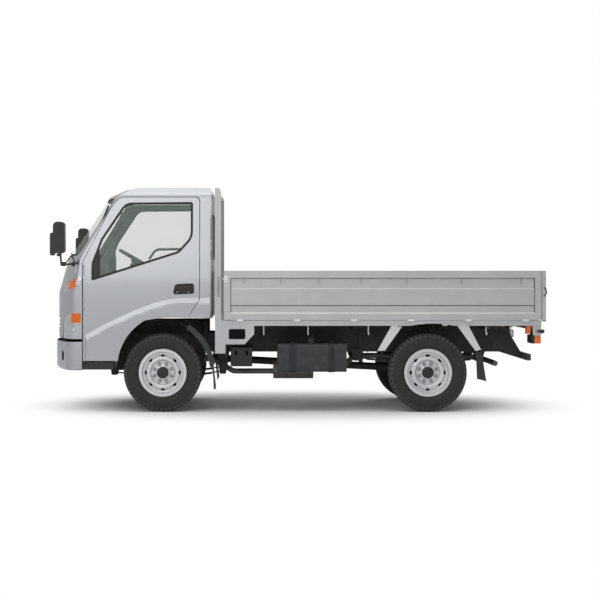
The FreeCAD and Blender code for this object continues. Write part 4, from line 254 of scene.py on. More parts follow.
def paint(name, hue, metallic, roughness, coat, dirt_top=0.75, dirt=0.30, waist=0.0):
    """Sprayed metallic paint: flakes, soft orange peel, and road grime low down.

    With a waist height, the panels look crowned there, and the back corner is darkened by sooty grime
    and by painted shade where it curves in."""
    s = new_shader(name)
    flake, dirt_reach, crown_steepness, crown_height = 0.10, 0.45, 4.0, 0.0055
    grain = s.node("SeparateColor", values={0: s.cells(900.0, output=1)})
    cloud = s.noise(2.2, 4.0)
    fleck = s.tinted(hue, grain * 0.6 + cloud * 0.4, 1 - flake, 1 + flake)
    low = 1 - s.along("Z").clamped(dirt_top - dirt_reach, dirt_top)
    darkening = (s.noise(9.0, 6.0, (1, 1, 2.2)) * low * dirt).clamped(0.02, 0.6)
    peel = s.bump(s.noise(260.0), 0.05, 0.0004)
    if waist:
        # The back corner is darkened: partly sooty grime, partly painted shade and dark reflection
        # where the corner curves in.
        back, aside = s.along("X"), s.reckon("ABSOLUTE", s.along("Y"))
        corner = back.clamped(-0.838, -0.806) * aside.clamped(0.70, 0.80)
        soot_and_shade = corner * s.noise(16.0, 6.0, (1, 1, 0.5))
        darkening = (soot_and_shade.clamped(0.18, 0.62) + darkening).clamped(0.0, 1.1)
        off = s.reckon("ABSOLUTE", s.along("Z") - waist)
        near = 1 - s.reckon("MINIMUM", off * crown_steepness, 1.0)
        peel = s.bump(near * near * -crown_height, 1.0, 1.0, Normal=peel)
    return s.surface(
        Base_Color=s.mix(darkening, fleck, shade((0.13, 0.125, 0.118))),
        Metallic=(1 - darkening) * metallic,
        Roughness=darkening * 0.4 + cloud * 0.05 + roughness,
        Coat_Weight=(1 - darkening) * coat,
        Coat_Roughness=0.06,
        Normal=peel,
    )


def sprayed(name, hue, roughness, metallic=0.0, wear=0.25, grain=70.0):
    """Plain paint on steel plate: faint runs, streaks of dust and an uneven tone."""
    s = new_shader(name)
    cloud = s.noise(3.0, 5.0)
    streak = s.noise(6.0, 3.0, (1.0, 1.0, 0.15))
    dust = (s.noise(14.0, 6.0) * streak).clamped(0.2, 0.6) * wear
    return s.surface(
        Base_Color=s.mix(dust, s.tinted(hue, cloud, 0.9, 1.1), shade((0.20, 0.19, 0.175))),
        Metallic=(1 - dust) * metallic,
        Roughness=dust * 0.3 + cloud * 0.08 + roughness,
        Normal=s.bump(s.noise(grain, 3.0), 0.12, 0.0006),
    )


def moulded(name, hue, roughness, grain=700.0):
    """Moulded plastic or rubber with a fine even grain and a little dust."""
    s = new_shader(name)
    cloud = s.noise(5.0, 5.0)
    return s.surface(
        Base_Color=s.mix(cloud.clamped(0.35, 0.9) * 0.10, shade(hue), shade((0.17, 0.165, 0.16))),
        Roughness=cloud * 0.12 + roughness,
        Normal=s.bump(s.noise(grain), 0.18, 0.0004),
    )


def rubber(name, hue):
    """Tyre rubber with a dry brown bloom."""
    s = new_shader(name)
    cloud, fine = s.noise(12.0, 6.0), s.noise(160.0)
    return s.surface(
        Base_Color=s.mix(cloud.clamped(0.3, 0.8) * 0.22, shade(hue), shade((0.055, 0.053, 0.05))),
        Roughness=cloud * 0.14 + 0.62,
        Normal=s.bump(fine * 0.5 + cloud * 0.5, 0.22, 0.0008),
    )


def pane(name, tint, alpha):
    """A thin tinted pane: a little haze and dust over what lies behind it."""
    s = new_shader(name)
    haze = s.noise(7.0, 5.0)
    return s.surface(
        Base_Color=s.tinted(tint, haze, 0.94, 1.06),
        Roughness=haze * 0.03 + 0.02,
        Alpha=haze * 0.02 + alpha,
        IOR=1.5,
    )


def lens(name, hue, alpha, ribs=0.0):
    """A lamp lens, ribbed upright on its inner face."""
    s = new_shader(name)
    haze = s.noise(40.0, 3.0)
    return s.surface(
        Base_Color=s.tinted(hue, haze, 0.9, 1.1),
        Roughness=haze * 0.05 + 0.08,
        Alpha=haze * 0.04 + alpha,
        Coat_Weight=0.6,
        Normal=s.bump(s.reckon("SINE", s.along("X") * ribs), 0.5, 0.0012),
    )


def faceted(name, hue):
    """A bright reflector cut in many small faces, seen through its clear cover; each face is painted
    lighter or darker, as painted reflection.
    """
    s = new_shader(name)
    facets_and_glints = s.cells(42.0, {"distance": "CHEBYCHEV"})
    # The cells set the bump, and paint each face of the reflector lighter or darker: painted
    # reflection.
    return s.surface(
        Base_Color=s.tinted(hue, facets_and_glints, 0.62, 1.4),
        Metallic=0.55,
        Roughness=s.noise(30.0, 3.0) * 0.08 + 0.12,
        Coat_Weight=1.0,
        Coat_Roughness=0.03,
        Normal=s.bump(facets_and_glints, 0.7, 0.003),
    )


def bright_metal(name, hue, roughness):
    """Bare or plated metal with fine scratches."""
    s = new_shader(name)
    cloud = s.noise(30.0, 4.0)
    return s.surface(
        Base_Color=s.tinted(hue, cloud, 0.82, 1.1),
        Metallic=0.95,
        Roughness=cloud * 0.15 + roughness,
        Normal=s.bump(s.noise(400.0), 0.08, 0.0004),
    )


def cloth(name, hue):
    """Woven seat cloth: two crossed threads on the object's own coordinates."""
    s = new_shader(name)
    threads = 2400.0
    across, along = (s.reckon("SINE", s.along(axis) * threads) for axis in "XY")
    weave = across * along * 0.5 + 0.5
    cloud = s.noise(18.0, 4.0)
    return s.surface(
        Base_Color=s.tinted(hue, weave * 0.6 + cloud * 0.4, 0.7, 1.35),
        Roughness=cloud * 0.1 + 0.85,
        Sheen_Weight=0.35,
        Normal=s.bump(weave, 0.35, 0.0006),
    )


def make_materials():
    c = colours()
    return {
        "cab_paint": paint("cab_paint_coat", c.cab, 0.5, 0.34, 0.55, waist=1.24),
        "bumper_silver": paint("bumper_coat", c.cab, 0.45, 0.34, 0.6, dirt_top=0.7, dirt=0.5),
        "bed_paint": sprayed("bed_coat", c.bed, 0.42, 0.35, 0.16, 50.0),
        "deck": sprayed("deck_coat", c.deck, 0.55, 0.2, 0.45, 60.0),
        "wheel_silver": sprayed("wheel_coat", c.wheel, 0.36, 0.45, 0.16, 120.0),
        "chassis_black": sprayed("chassis_coat", c.chassis, 0.55, 0.0, 0.28),
        "tank": sprayed("tank_coat", c.tank, 0.42, 0.0, 0.2, 90.0),
        "engine_iron": sprayed("cast_iron", (0.06, 0.06, 0.06), 0.7, 0.3, 0.4, 160.0),
        "exhaust_steel": sprayed("exhaust_skin", (0.16, 0.15, 0.14), 0.55, 0.6, 0.5, 200.0),
        "tyre_rubber": rubber("tyre_rubber_black", c.tyre),
        "tread_rubber": rubber("tread_rubber_dusty", (0.052, 0.050, 0.047)),
        "dark_plastic": moulded("black_plastic", c.plastic, 0.5),
        "seal": moulded("seal_rubber", (0.010, 0.010, 0.011), 0.55, 1200.0),
        "interior": moulded("interior_plastic", (0.10, 0.105, 0.11), 0.62, 500.0),
        "lining": moulded("roof_lining", (0.30, 0.31, 0.31), 0.85, 300.0),
        "clear_glass": pane("tinted_glass", c.glass, 0.13),
        "orange": lens("turn_lens", c.orange, 0.93, 900.0),
        "red": lens("tail_lens", c.red, 0.93, 900.0),
        "clear": lens("clear_lens", (0.80, 0.81, 0.80), 0.30),
        "hub_cap": moulded("hub_cap_black", (0.012, 0.012, 0.013), 0.28, 300.0),
        "lamp_face": faceted("lamp_face_clear", (0.62, 0.64, 0.65)),
        "bolt": bright_metal("bolt_steel", (0.55, 0.55, 0.54), 0.30),
        "nut": bright_metal("wheel_nut_steel", (0.40, 0.40, 0.39), 0.34),
        "zinc": sprayed("zinc_plate", (0.72, 0.72, 0.71), 0.36, 0.5, 0.2, 200.0),
        "mirror": bright_metal("mirror_face", (0.85, 0.86, 0.86), 0.03),
        "seat_fabric": cloth("seat_cloth", c.fabric),
    }


MATERIALS = {}


def material(name):
    if not MATERIALS:
        MATERIALS.update(make_materials())
    return MATERIALS[name]


# Meshes


def node_mesh(node, flat=1.0):
    """A joined copy of a CAD node's triangles, its flat parts made whole faces."""
    mesh = bmesh.new()
    mesh.from_mesh(frame["nodes"][node].data)
    bmesh.ops.remove_doubles(mesh, verts=mesh.verts, dist=1e-5)
    if flat:
        bmesh.ops.dissolve_limit(
            mesh, angle_limit=math.radians(flat), verts=mesh.verts, edges=mesh.edges
        )
    return mesh


def looks_by_place(mesh, *tests):
    """Gives a face the material of the last test passed by its middle and normal, from 1."""
    mesh.normal_update()
    for face in mesh.faces:
        middle = face.calc_center_median()
        for i, test in enumerate(tests, 1):
            if test(middle, face.normal):
                face.material_index = i


def cut_at(mesh, axis, place):
    """Adds edges where the plane at a place along an axis crosses the mesh."""
    normal = Vector([float(letter == axis) for letter in "XYZ"])
    everything = [*mesh.verts, *mesh.edges, *mesh.faces]
    bmesh.ops.bisect_plane(mesh, geom=everything, plane_co=normal * place, plane_no=normal)


def in_cells(mesh, step):
    """Cuts the panels into small cells, so that shading stays near the folds."""
    for i, axis in ((0, "X"), (2, "Z")):
        low = min(v.co[i] for v in mesh.verts)
        high = max(v.co[i] for v in mesh.verts)
        place = low + step
        while place < high - step / 2:
            cut_at(mesh, axis, place)
            place += step


def fold_lines(mesh, angle):
    """Marks inward folds steeper than an angle as sharp, so that pressed creases show."""
    for edge in mesh.edges:
        folded = len(edge.link_faces) == 2 and edge.calc_face_angle(0.0) > math.radians(angle)
        if folded and not edge.is_convex:
            edge.smooth = False


def verts_of(geometry):
    return [item for item in geometry if isinstance(item, bmesh.types.BMVert)]


def thicken(mesh, faces, move):
    """Makes faces into a solid by pulling a copy of them along a vector."""
    made = bmesh.ops.extrude_face_region(mesh, geom=faces)["geom"]
    bmesh.ops.translate(mesh, vec=move, verts=verts_of(made))


def box(mesh, low, high):
    """A box between two corners."""
    low, high = Vector(low), Vector(high)
    place = Matrix.LocRotScale((low + high) / 2, None, high - low)
    return bmesh.ops.create_cube(mesh, size=1.0, matrix=place)["verts"]


def bar(mesh, start, end, radius, steps=16, tip=None):
    """A round bar or cone between two points; with six steps it is a nut."""
    start, end = Vector(start), Vector(end)
    run = end - start
    turn = run.to_track_quat("Z", "Y")
    bmesh.ops.create_cone(
        mesh, cap_ends=True, segments=steps, radius1=radius,
        radius2=radius if tip is None else tip, depth=run.length,
        matrix=Matrix.LocRotScale((start + end) / 2, turn, None),
    )


def pin(mesh, x, z, inner, outer, radius, steps=6, tip=None):
    """A bar that runs across the truck."""
    bar(mesh, (x, inner, z), (x, outer, z), radius, steps, tip)


def rod_along(mesh, radius, *points):
    """A bent round bar: short straight bars and balls at the bends."""
    for start, end in zip(points, points[1:]):
        bar(mesh, start, end, radius, 10)
    for corner in points[1:-1]:
        bmesh.ops.create_icosphere(
            mesh, subdivisions=2, radius=radius, matrix=Matrix.Translation(corner)
        )


def turned(mesh, profile, centre, axis, steps):
    """A profile of (along the axis, radius) pairs turned fully round the axis."""
    axis, centre = Vector(axis), Vector(centre)
    up = Vector((0, 0, 1)) if abs(axis.z) < 0.5 else Vector((1, 0, 0))
    verts = [mesh.verts.new(centre + axis * u + up * r) for u, r in profile]
    edges = [mesh.edges.new(pair) for pair in zip(verts, verts[1:])]
    bmesh.ops.spin(
        mesh, geom=[*verts, *edges], cent=centre, axis=axis, steps=steps,
        angle=2 * math.pi, use_merge=True,
    )
    bmesh.ops.recalc_face_normals(mesh, faces=mesh.faces)


def flip_side(mesh):
    """Turns a mesh made for the left side into its mirror image on the right."""
    bmesh.ops.scale(mesh, vec=(1, -1, 1), verts=mesh.verts)
    bmesh.ops.reverse_faces(mesh, faces=mesh.faces)


def from_photo(column):
    """The place along the truck of a column of the photograph."""
    return (column - AXLE_COLUMN) * PIXEL + FRONT_AXLE


def from_hub(place, hub):
    """How far a place is from a wheel's axis."""
    return math.hypot(place.x - hub.x, place.z - hub.z)


# Pieces


def finished(mesh, name, look, body, slot=None, replaces=(), edge=0.0, crease=30.0, fold=0.0):
    """The object of a bmesh, with its edges rounded and its finish and body set."""
    bmesh.ops.recalc_face_normals(mesh, faces=mesh.faces)
    if fold:
        in_cells(mesh, sizes().panel_cell)
    data = bpy.data.meshes.new(name)
    mesh.to_mesh(data)
    data.shade_smooth()
    data.set_sharp_from_angle(angle=math.radians(crease))
    if fold:
        mesh.clear()
        mesh.from_mesh(data)
        fold_lines(mesh, fold)
        mesh.to_mesh(data)
    mesh.free()
    looks = look if isinstance(look, tuple) else (look,)
    for item in looks:
        data.materials.append(material(item))
    obj = bpy.data.objects.new(name, data)
    bpy.context.scene.collection.objects.link(obj)
    if edge:
        bevel = obj.modifiers.new("rounded_edges", "BEVEL")
        bevel.width, bevel.segments = edge, 2
        bevel.limit_method, bevel.angle_limit = "ANGLE", math.radians(crease)
    even = obj.modifiers.new("even_shading", "WEIGHTED_NORMAL")
    even.keep_sharp = bool(fold) or not edge
    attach(obj, body)
    if replaces:
        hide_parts(*replaces)
    return obj


def dress(node, look, edge=0.0, slot=None, tests=(), cuts=(), mesh=None, **rest):
    """The CAD node's shape, cut at (axis, place) pairs, with its finish or one for each test."""
    own = frame["nodes"][node]
    mesh = mesh or node_mesh(node)
    for axis, place in cuts:
        cut_at(mesh, axis, place)
    if tests:
        looks_by_place(mesh, *tests)
    slot = slot or own.data.materials[0].name
    body = body_of(own)[0]
    finished(mesh, f"{node}_dressed", look, body, slot, (node,), edge, **rest)


def built(make, name, look, body, flipped=False, **rest):
    """A piece that make(mesh) models, or its mirror image."""
    mesh = bmesh.new()
    make(mesh)
    if flipped:
        flip_side(mesh)
    finished(mesh, name, look, body, **rest)


def paired(make, name, look, body, **rest):
    """A piece modelled on the left and its mirror image. {} in a body's name is the side."""
    for side, sign in SIDES.items():
        built(make, f"{side}_{name}", look, body.format(side), sign == RIGHT, **rest)


# Operators


class Piece(bpy.types.Operator):
    """One group of the truck's pieces."""

    bl_options = {"REGISTER"}

    def execute(self, context):
        self.make(context.scene)
        return {"FINISHED"}


class TRUCK_OT_stage(Piece):
    """Makes the camera, the lamps, the floor and the white surroundings"""

    bl_idname = "truck.stage"
    bl_label = "Stage"

    def make(self, scene):
        camera = bpy.data.cameras.new("side_view")
        camera.sensor_width, camera.lens = 36.0, 86.5
        camera.shift_x, camera.shift_y = 0.0833, -0.0435
        camera.clip_end = 200.0
        level = (math.pi / 2, 0.0, 0.0)
        scene.camera = self.stood(scene, "side_view", camera, (-0.443, -14.35, 1.300), level)
        scene.view_settings.view_transform = "Standard"
        for name, place, aim, width, depth, power in (
            ("softbox_over", (-0.6, -1.5, 7.0), (0.0, 0.0, 0.8), 9.0, 6.0, 290.0),
            ("softbox_side", (-3.0, -9.0, 4.2), (0.0, 0.0, 0.9), 6.0, 4.0, 170.0),
            ("softbox_back", (4.5, 7.0, 5.0), (0.0, 0.0, 0.9), 5.0, 4.0, 120.0),
        ):
            light = bpy.data.lights.new(name, "AREA")
            light.shape, light.size, light.size_y, light.energy = "RECTANGLE", width, depth, power
            turn = (Vector(aim) - Vector(place)).to_track_quat("-Z", "Y").to_euler()
            self.stood(scene, name, light, place, turn)
        self.surroundings(scene)
        self.floor(scene)

    def stood(self, scene, name, data, place, turn):
        obj = bpy.data.objects.new(name, data)
        obj.location, obj.rotation_euler = place, turn
        scene.collection.objects.link(obj)
        return obj

    def seen(self, s):
        """1 for rays that look at the background, 0 for rays that light the truck."""
        path = s.node("LightPath").socket.node.outputs
        camera, through = (Wire(s, path[name]) for name in ("Is Camera Ray", "Is Transmission Ray"))
        return (camera + through).clamped(0.0, 1.0)

    def surroundings(self, scene):
        scene.world = scene.world or bpy.data.worlds.new("surroundings")
        s = Shader(scene.world)
        grey = s.mix(self.seen(s), (0.45, 0.455, 0.465, 1.0), (1.0, 1.0, 1.0, 1.0))
        s.output(s.node("Background", values={"Color": grey, "Strength": 1.0}))

    def floor(self, scene):
        """A wide disc that takes the truck's shadow and fades into the white round it."""
        mesh = bmesh.new()
        bmesh.ops.create_circle(mesh, cap_ends=True, segments=96, radius=60.0)
        data = bpy.data.meshes.new("floor")
        mesh.to_mesh(data)
        mesh.free()
        floor = bpy.data.objects.new("floor", data)
        scene.collection.objects.link(floor)
        s = new_shader("floor_pale")
        flat = (0.36, 0.50, 0.0)
        place = s.node("VectorMath", {"operation": "MULTIPLY"}, {0: s.place(), 1: flat})
        far = s.node("VectorMath", {"operation": "LENGTH"}, {0: place}, output=1)
        bright = self.seen(s) * far.clamped(0.55, 1.05)
        pale = s.tinted((0.86, 0.86, 0.86), s.noise(3.0, 3.0), 0.985, 1.015)
        plain = s.node("BsdfDiffuse", values={"Color": pale})
        white = s.node("Emission", values={"Color": (1, 1, 1, 1), "Strength": 1.0})
        s.output(s.node("MixShader", values={0: bright, 1: plain, 2: white}))
        data.materials.append(s.holder)


class TRUCK_OT_cab_body(Piece):
    """Makes the cab's painted panels and what sits on them"""

    bl_idname = "truck.cab_body"
    bl_label = "Cab Body"

    def make(self, scene):
        edge = sizes().panel_edge
        self.shell(edge)
        self.front(edge)
        recess_front, recess_rear, recess_foot, recess_top = -1.173, -0.962, 1.103, 1.215
        recess_back, door_face = 0.805, 0.8375
        frame_front, frame_rear = -1.95, -0.97
        for side, sign in SIDES.items():
            dress(f"{side}_door", ("cab_paint", "interior", "seal", "dark_plastic"), edge, tests=(
                lambda m, n: n.y * sign < -0.5,
                lambda m, n: abs(n.y) < 0.4 and m.z > WINDOW_SILL
                and frame_front < m.x < frame_rear,
                lambda m, n: recess_front < m.x < recess_rear and recess_foot < m.z < recess_top
                and recess_back < m.y * sign < door_face and n.y * sign > -0.5,
            ), fold=FLAT_FOLD)
        dark = {"slot": "dark_plastic"}
        paired(self.grip, "door_grip", "dark_plastic", "{}_door", edge=0.004)
        paired(self.screws, "handle_screws", "bolt", "{}_door", **dark)
        paired(self.cover, "mirror_foot_cover", "cab_paint", "cab")
        paired(self.pillar_trims, "pillar_trims", "seal", "cab", edge=0.0015, **dark)
        paired(self.fog_backs, "fog_recess_backs", "seal", "truck", edge=0.003, **dark)

    def front(self, edge):
        """The front panel, with trim behind it and dark slots between the grille's bars."""
        slot_foot, slot_pitch, slot_height = 0.776, 0.038, 0.0241
        foot, top, half_width, face_rear = 0.770, 0.882, 0.4315, -2.25
        panel = node_mesh("front_panel", 0.0)
        looks_by_place(panel, lambda m, n: n.x > 0.7)
        for face in panel.faces:
            spots = [vert.co for vert in face.verts]
            height = face.calc_center_median().z - slot_foot
            if height % slot_pitch < slot_height and all(
                foot < p.z < top and abs(p.y) < half_width and p.x < face_rear for p in spots
            ):
                face.material_index = 2
        dress("front_panel", ("cab_paint", "interior", "seal"), edge, mesh=panel)

    def shell(self, edge):
        """Paint outside, trim inside, lining under the roof, black step wells and underside."""
        roof, sill, floor, deck, well_side = 1.98, 0.484, 0.80, 0.90, 0.64
        arch_top, arch_front, nose_rear = 0.886, -1.72, -2.1
        heart = Vector((-1.45, 0.0, 1.55))
        hub = Vector((FRONT_AXLE, 0, WHEEL_HEIGHT))
        looks = ("cab_paint", "interior", "lining", "dark_plastic", "seal")
        dress("cab_shell", looks, edge, tests=(
            lambda m, n: n.dot(heart - m) > 0.15 and self.within(m),
            lambda m, n: n.z < -0.6 and m.z > roof,
            lambda m, n: m.z < sill or (m.z < floor and n.z < -0.7)
            or (m.z < deck and abs(m.y) < well_side and not (n.x < -0.5 and m.x < nose_rear)),
            lambda m, n: m.z < arch_top and m.x > arch_front
            and n.x * (hub.x - m.x) + n.z * (hub.z - m.z) > 0.05,
        ), fold=FLAT_FOLD)

    def within(self, m):
        """True behind the leaning nose and screen by more than a wall, and inside the sides."""
        nose, nose_top, nose_lean = -2.27, 1.12, 0.29
        screen, screen_foot, screen_lean = -2.17, 1.45, 0.675
        back, side, top = -0.81, 0.835, 2.12
        lean = nose + max(0.0, m.z - nose_top) * nose_lean
        if m.z > screen_foot:
            lean = screen + (m.z - screen_foot) * screen_lean
        return lean < m.x < back and abs(m.y) < side and m.z < top

    def cover(self, mesh):
        """The drop-shaped cover under the mirror's stay."""
        middle, reach, cut = Vector((-2.079, -0.803, 1.352)), (0.028, 0.034, 0.062), 1.392
        place = Matrix.LocRotScale(middle, None, reach)
        bmesh.ops.create_uvsphere(mesh, u_segments=32, v_segments=20, radius=1.0, matrix=place)
        bmesh.ops.bisect_plane(
            mesh, geom=[*mesh.verts, *mesh.edges, *mesh.faces], plane_co=(0, 0, cut),
            plane_no=(0, 0, 1), clear_outer=True,
        )
        bmesh.ops.edgeloop_fill(mesh, edges=[edge for edge in mesh.edges if edge.is_boundary])

    def pillar_trims(self, mesh):
        """The black strips along the front pillar beside the screen."""
        bar(mesh, (-1.857, -0.742, 1.755), (-1.778, -0.722, 1.945), 0.0085, 8)
        bar(mesh, (-1.985, -0.7595, 1.535), (-1.958, -0.7560, 1.575), 0.0085, 8)

    def fog_backs(self, mesh):
        """The dark pocket behind the recess for a lamp at the bumper's corner."""
        box(mesh, (-2.232, -0.636, 0.465), (-2.129, -0.624, 0.587))
        box(mesh, (-2.137, -0.773, 0.465), (-2.129, -0.630, 0.587))

    def grip(self, mesh):
        """The pull inside the handle's recess, its lower edge tucked in."""
        verts = box(mesh, (-1.150, -0.8395, 1.158), (-0.992, -0.829, 1.196))
        low = [v for v in verts if v.co.z < 1.17 and v.co.y < -0.835]
        bmesh.ops.translate(mesh, vec=(0, 0.005, 0), verts=low)

    def screws(self, mesh):
        for x in (-1.128, -1.020):
            pin(mesh, x, 1.128, -0.822, -0.8335, 0.0052, 12)


class TRUCK_OT_glazing(Piece):
    """Makes the panes, their rubbers and the dark quarter panels"""

    bl_idname = "truck.glazing"
    bl_label = "Glazing"

    def make(self, scene):
        for side, sign in SIDES.items():
            node = f"{side}_door_glass"
            dress(node, ("clear_glass", "dark_plastic"), cuts=[("X", WINDOW_DIVIDER)],
                  tests=[lambda m, n: m.x < WINDOW_DIVIDER])
            self.rubber(f"{side}_window_rubber", node, f"{side}_door",
                        lambda f: f.normal.y * sign > 0.6)
        paired(self.divider, "window_divider", "seal", "{}_door", slot="dark_plastic", edge=0.002)
        dress("cab_glass", "clear_glass")
        self.rubber("screen_rubber", "cab_glass", "cab",
                    lambda f: f.normal.x < -0.3 and f.calc_center_median().x < -1.4)
        self.rubber("rear_window_rubber", "cab_glass", "cab",
                    lambda f: f.normal.x > 0.8 and f.calc_center_median().x > -1.0, 0.7)

    def rubber(self, name, node, body, outer, wide=1.0):
        """A raised band round the outer face of a pane."""
        mesh = node_mesh(node)
        others = [face for face in mesh.faces if not outer(face)]
        bmesh.ops.delete(mesh, geom=others, context="FACES")
        band = bmesh.ops.inset_region(
            mesh, faces=list(mesh.faces), thickness=sizes().seal_width * wide, depth=0.0,
            use_even_offset=True, use_boundary=True,
        )["faces"]
        bmesh.ops.delete(mesh, geom=list(set(mesh.faces) - set(band)), context="FACES")
        raised = bmesh.ops.extrude_face_region(mesh, geom=list(mesh.faces))["geom"]
        for vert in verts_of(raised):
            vert.co += vert.normal * sizes().seal_height
        finished(mesh, name, "seal", body, "dark_plastic", edge=0.0012)

    def divider(self, mesh):
        half = 0.006
        box(mesh, (WINDOW_DIVIDER - half, -0.8335, 1.245), (WINDOW_DIVIDER + half, -0.822, 1.490))


class TRUCK_OT_lamps(Piece):
    """Makes the head, clearance and tail lamps in their coloured sections"""

    bl_idname = "truck.lamps"
    bl_label = "Lamps"

    def make(self, scene):
        x, z = HEAD_LENS_SPLIT
        dress("headlamps", ("lamp_face", "orange"), 0.003, cuts=[("X", x), ("Z", z)],
              tests=[lambda m, n: m.x > x and m.z > z])
        start, end = BAND_LENS_ENDS
        dress("corner_lamps", ("lamp_face", "orange"), 0.002, cuts=[("X", start), ("X", end)],
              tests=[lambda m, n: start < m.x < end])
        self.rear()

    def rear(self):
        """Tail lamps: red between orange and clear on a dark box, and a marker lens above."""
        outer_width, inner_start, lens_depth, marker_depth = 0.075, 0.17, 0.058, 0.08
        marker_foot = 0.73
        back, outer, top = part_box("rear_lamps")[1]
        cuts = [("Y", side * (outer - share)) for side in SIDES.values()
                for share in (outer_width, inner_start)] + [("X", back - lens_depth)]

        def on_lens(m):
            return m.x > back - lens_depth and m.z < marker_foot

        looks = ("lamp_face", "dark_plastic", "red", "orange", "clear", "orange")
        dress("rear_lamps", looks, 0.003, "lamp_lens", cuts=cuts, tests=(
            lambda m, n: True,
            lambda m, n: on_lens(m),
            lambda m, n: on_lens(m) and abs(m.y) > outer - outer_width,
            lambda m, n: on_lens(m) and abs(m.y) < outer - inner_start,
            lambda m, n: m.x < back - marker_depth and m.z > marker_foot,
        ))


class TRUCK_OT_fittings(Piece):
    """Makes the mirrors with their faces, and the wipers"""

    bl_idname = "truck.fittings"
    bl_label = "Mirrors and Wipers"

    def make(self, scene):
        dress("mirrors", "dark_plastic", 0.007, crease=50.0)
        dress("wipers", "dark_plastic")
        paired(self.faces, "mirror_faces", "mirror", "cab", slot="dark_plastic", edge=0.004)
        paired(self.clamps, "mirror_clamps", "dark_plastic", "cab", edge=0.002)

    def faces(self, mesh):
        box(mesh, (-2.158, -1.012, 1.510), (-2.1545, -0.946, 1.764))
        box(mesh, (-2.253, -1.012, 1.484), (-2.2495, -0.966, 1.668))

    def clamps(self, mesh):
        """The clamps on the mirror's stay and the small three-cornered stay behind it."""
        box(mesh, (-2.236, -0.975, 1.464), (-2.205, -0.940, 1.488))
        for x, y in ((-2.178, -0.915), (-2.098, -0.845)):
            box(mesh, (x - 0.016, y - 0.014, 1.372), (x + 0.016, y + 0.014, 1.412))
        rod_along(mesh, 0.006, (-2.170, -0.905, 1.392), (-2.120, -0.840, 1.470),
                  (-2.085, -0.805, 1.410))


class TRUCK_OT_cabin(Piece):
    """Makes the seats, the dashboard, the steering wheel, the lever and the grab handles"""

    bl_idname = "truck.cabin"
    bl_label = "Cabin"

    def make(self, scene):
        dress("dashboard", "interior", 0.010, "dark_plastic")
        dress("steering_wheel", "dark_plastic")
        built(self.vents, "dash_vents", "dark_plastic", "cab", edge=0.0015)
        built(self.lever, "gear_lever", "dark_plastic", "cab")
        for name, low, high in (("driver", 0.060, 0.620), ("mate", -0.640, -0.060)):
            self.cushion(f"{name}_seat_cushion", low, high,
                         [(-1.516, 0.9265), (-1.018, 0.9265), (-0.998, 1.046), (-1.512, 1.076)])
            self.cushion(f"{name}_seat_back", low, high,
                         [(-1.060, 1.052), (-0.975, 1.030), (-0.902, 1.486), (-0.970, 1.505)])
        built(self.handles, "grab_handles", "dark_plastic", "cab")

    def handles(self, mesh):
        """The handle on the near front pillar and the long one over the far door."""
        rod_along(mesh, 0.0125, (-1.700, -0.745, 1.640), (-1.682, -0.700, 1.655),
                  (-1.646, -0.690, 1.700), (-1.646, -0.690, 1.745), (-1.672, -0.700, 1.782),
                  (-1.690, -0.745, 1.790))
        rod_along(mesh, 0.0125, (-1.500, 0.745, 1.455), (-1.440, 0.735, 1.538),
                  (-1.405, 0.735, 1.556), (-1.160, 0.735, 1.559), (-1.120, 0.745, 1.500))

    def cushion(self, name, low, high, corners):
        """One padded part of a seat: a crowned block with rounded edges and soft pleats."""
        margin, rounding, crown_height = 0.004, 0.026, 0.010
        pleat_depth, pleat_width = 0.0021, 0.093
        mesh = bmesh.new()
        face = mesh.faces.new([mesh.verts.new((x, low + margin, z)) for x, z in corners])
        thicken(mesh, [face], (0, high - low - 2 * margin, 0))
        bmesh.ops.recalc_face_normals(mesh, faces=mesh.faces)
        middle = sum((v.co for v in mesh.verts), Vector()) / len(mesh.verts)
        bmesh.ops.bevel(
            mesh, geom=list(mesh.edges), offset=rounding, offset_type="OFFSET", segments=4,
            profile=0.5, affect="EDGES", material=-1,
        )
        long_edges = [edge for edge in mesh.edges if edge.calc_length() > 0.12]
        bmesh.ops.subdivide_edges(mesh, edges=long_edges, cuts=9, use_grid_fill=True)
        reach = Vector([max(abs(v.co[i] - middle[i]) for v in mesh.verts) for i in range(3)])
        mesh.normal_update()
        for vert in mesh.verts:
            share = [abs(vert.co[i] - middle[i]) / reach[i] for i in range(3)]
            crown = math.prod(1 - min(1.0, part) ** 4 for part in sorted(share)[:2])
            pleat = abs(math.cos(math.tau * (vert.co.y - middle.y) / pleat_width)) * pleat_depth
            rise = crown_height * (0.8 + 0.2 * share[1]) - pleat
            vert.co += vert.normal * rise * crown
        lower = Vector((min(x for x, z in corners), low, min(z for x, z in corners)))
        upper = Vector((max(x for x, z in corners), high, max(z for x, z in corners)))
        for vert in mesh.verts:
            vert.co = Vector([min(max(vert.co[i], lower[i]), upper[i]) for i in range(3)])
        replaced = ("seats",) if name == "driver_seat_cushion" else ()
        seat = finished(mesh, name, "seat_fabric", "cab", "seat_fabric", replaced, crease=60.0)

    def vents(self, mesh):
        """The dashboard's vents with their slats, and the panel of the radio."""
        for y in (-0.60, -0.20, 0.12, 0.62):
            box(mesh, (-1.9075, y - 0.055, 1.300), (-1.9035, y + 0.055, 1.365))
            for i in range(4):
                foot = 1.308 + i * 0.014
                box(mesh, (-1.9045, y - 0.050, foot), (-1.9015, y + 0.050, foot + 0.0045))
        box(mesh, (-1.9075, -0.13, 1.16), (-1.9020, 0.06, 1.265))

    def lever(self, mesh):
        """The gear lever with its boot and knob."""
        profile = [(0.0, 0.052), (0.012, 0.050), (0.030, 0.036), (0.055, 0.020), (0.060, 0.0085),
                   (0.190, 0.0075), (0.194, 0.016), (0.214, 0.018), (0.228, 0.010), (0.230, 0.0)]
        turned(mesh, profile, (-1.700, 0.050, 0.779), (0, 0, 1), 24)


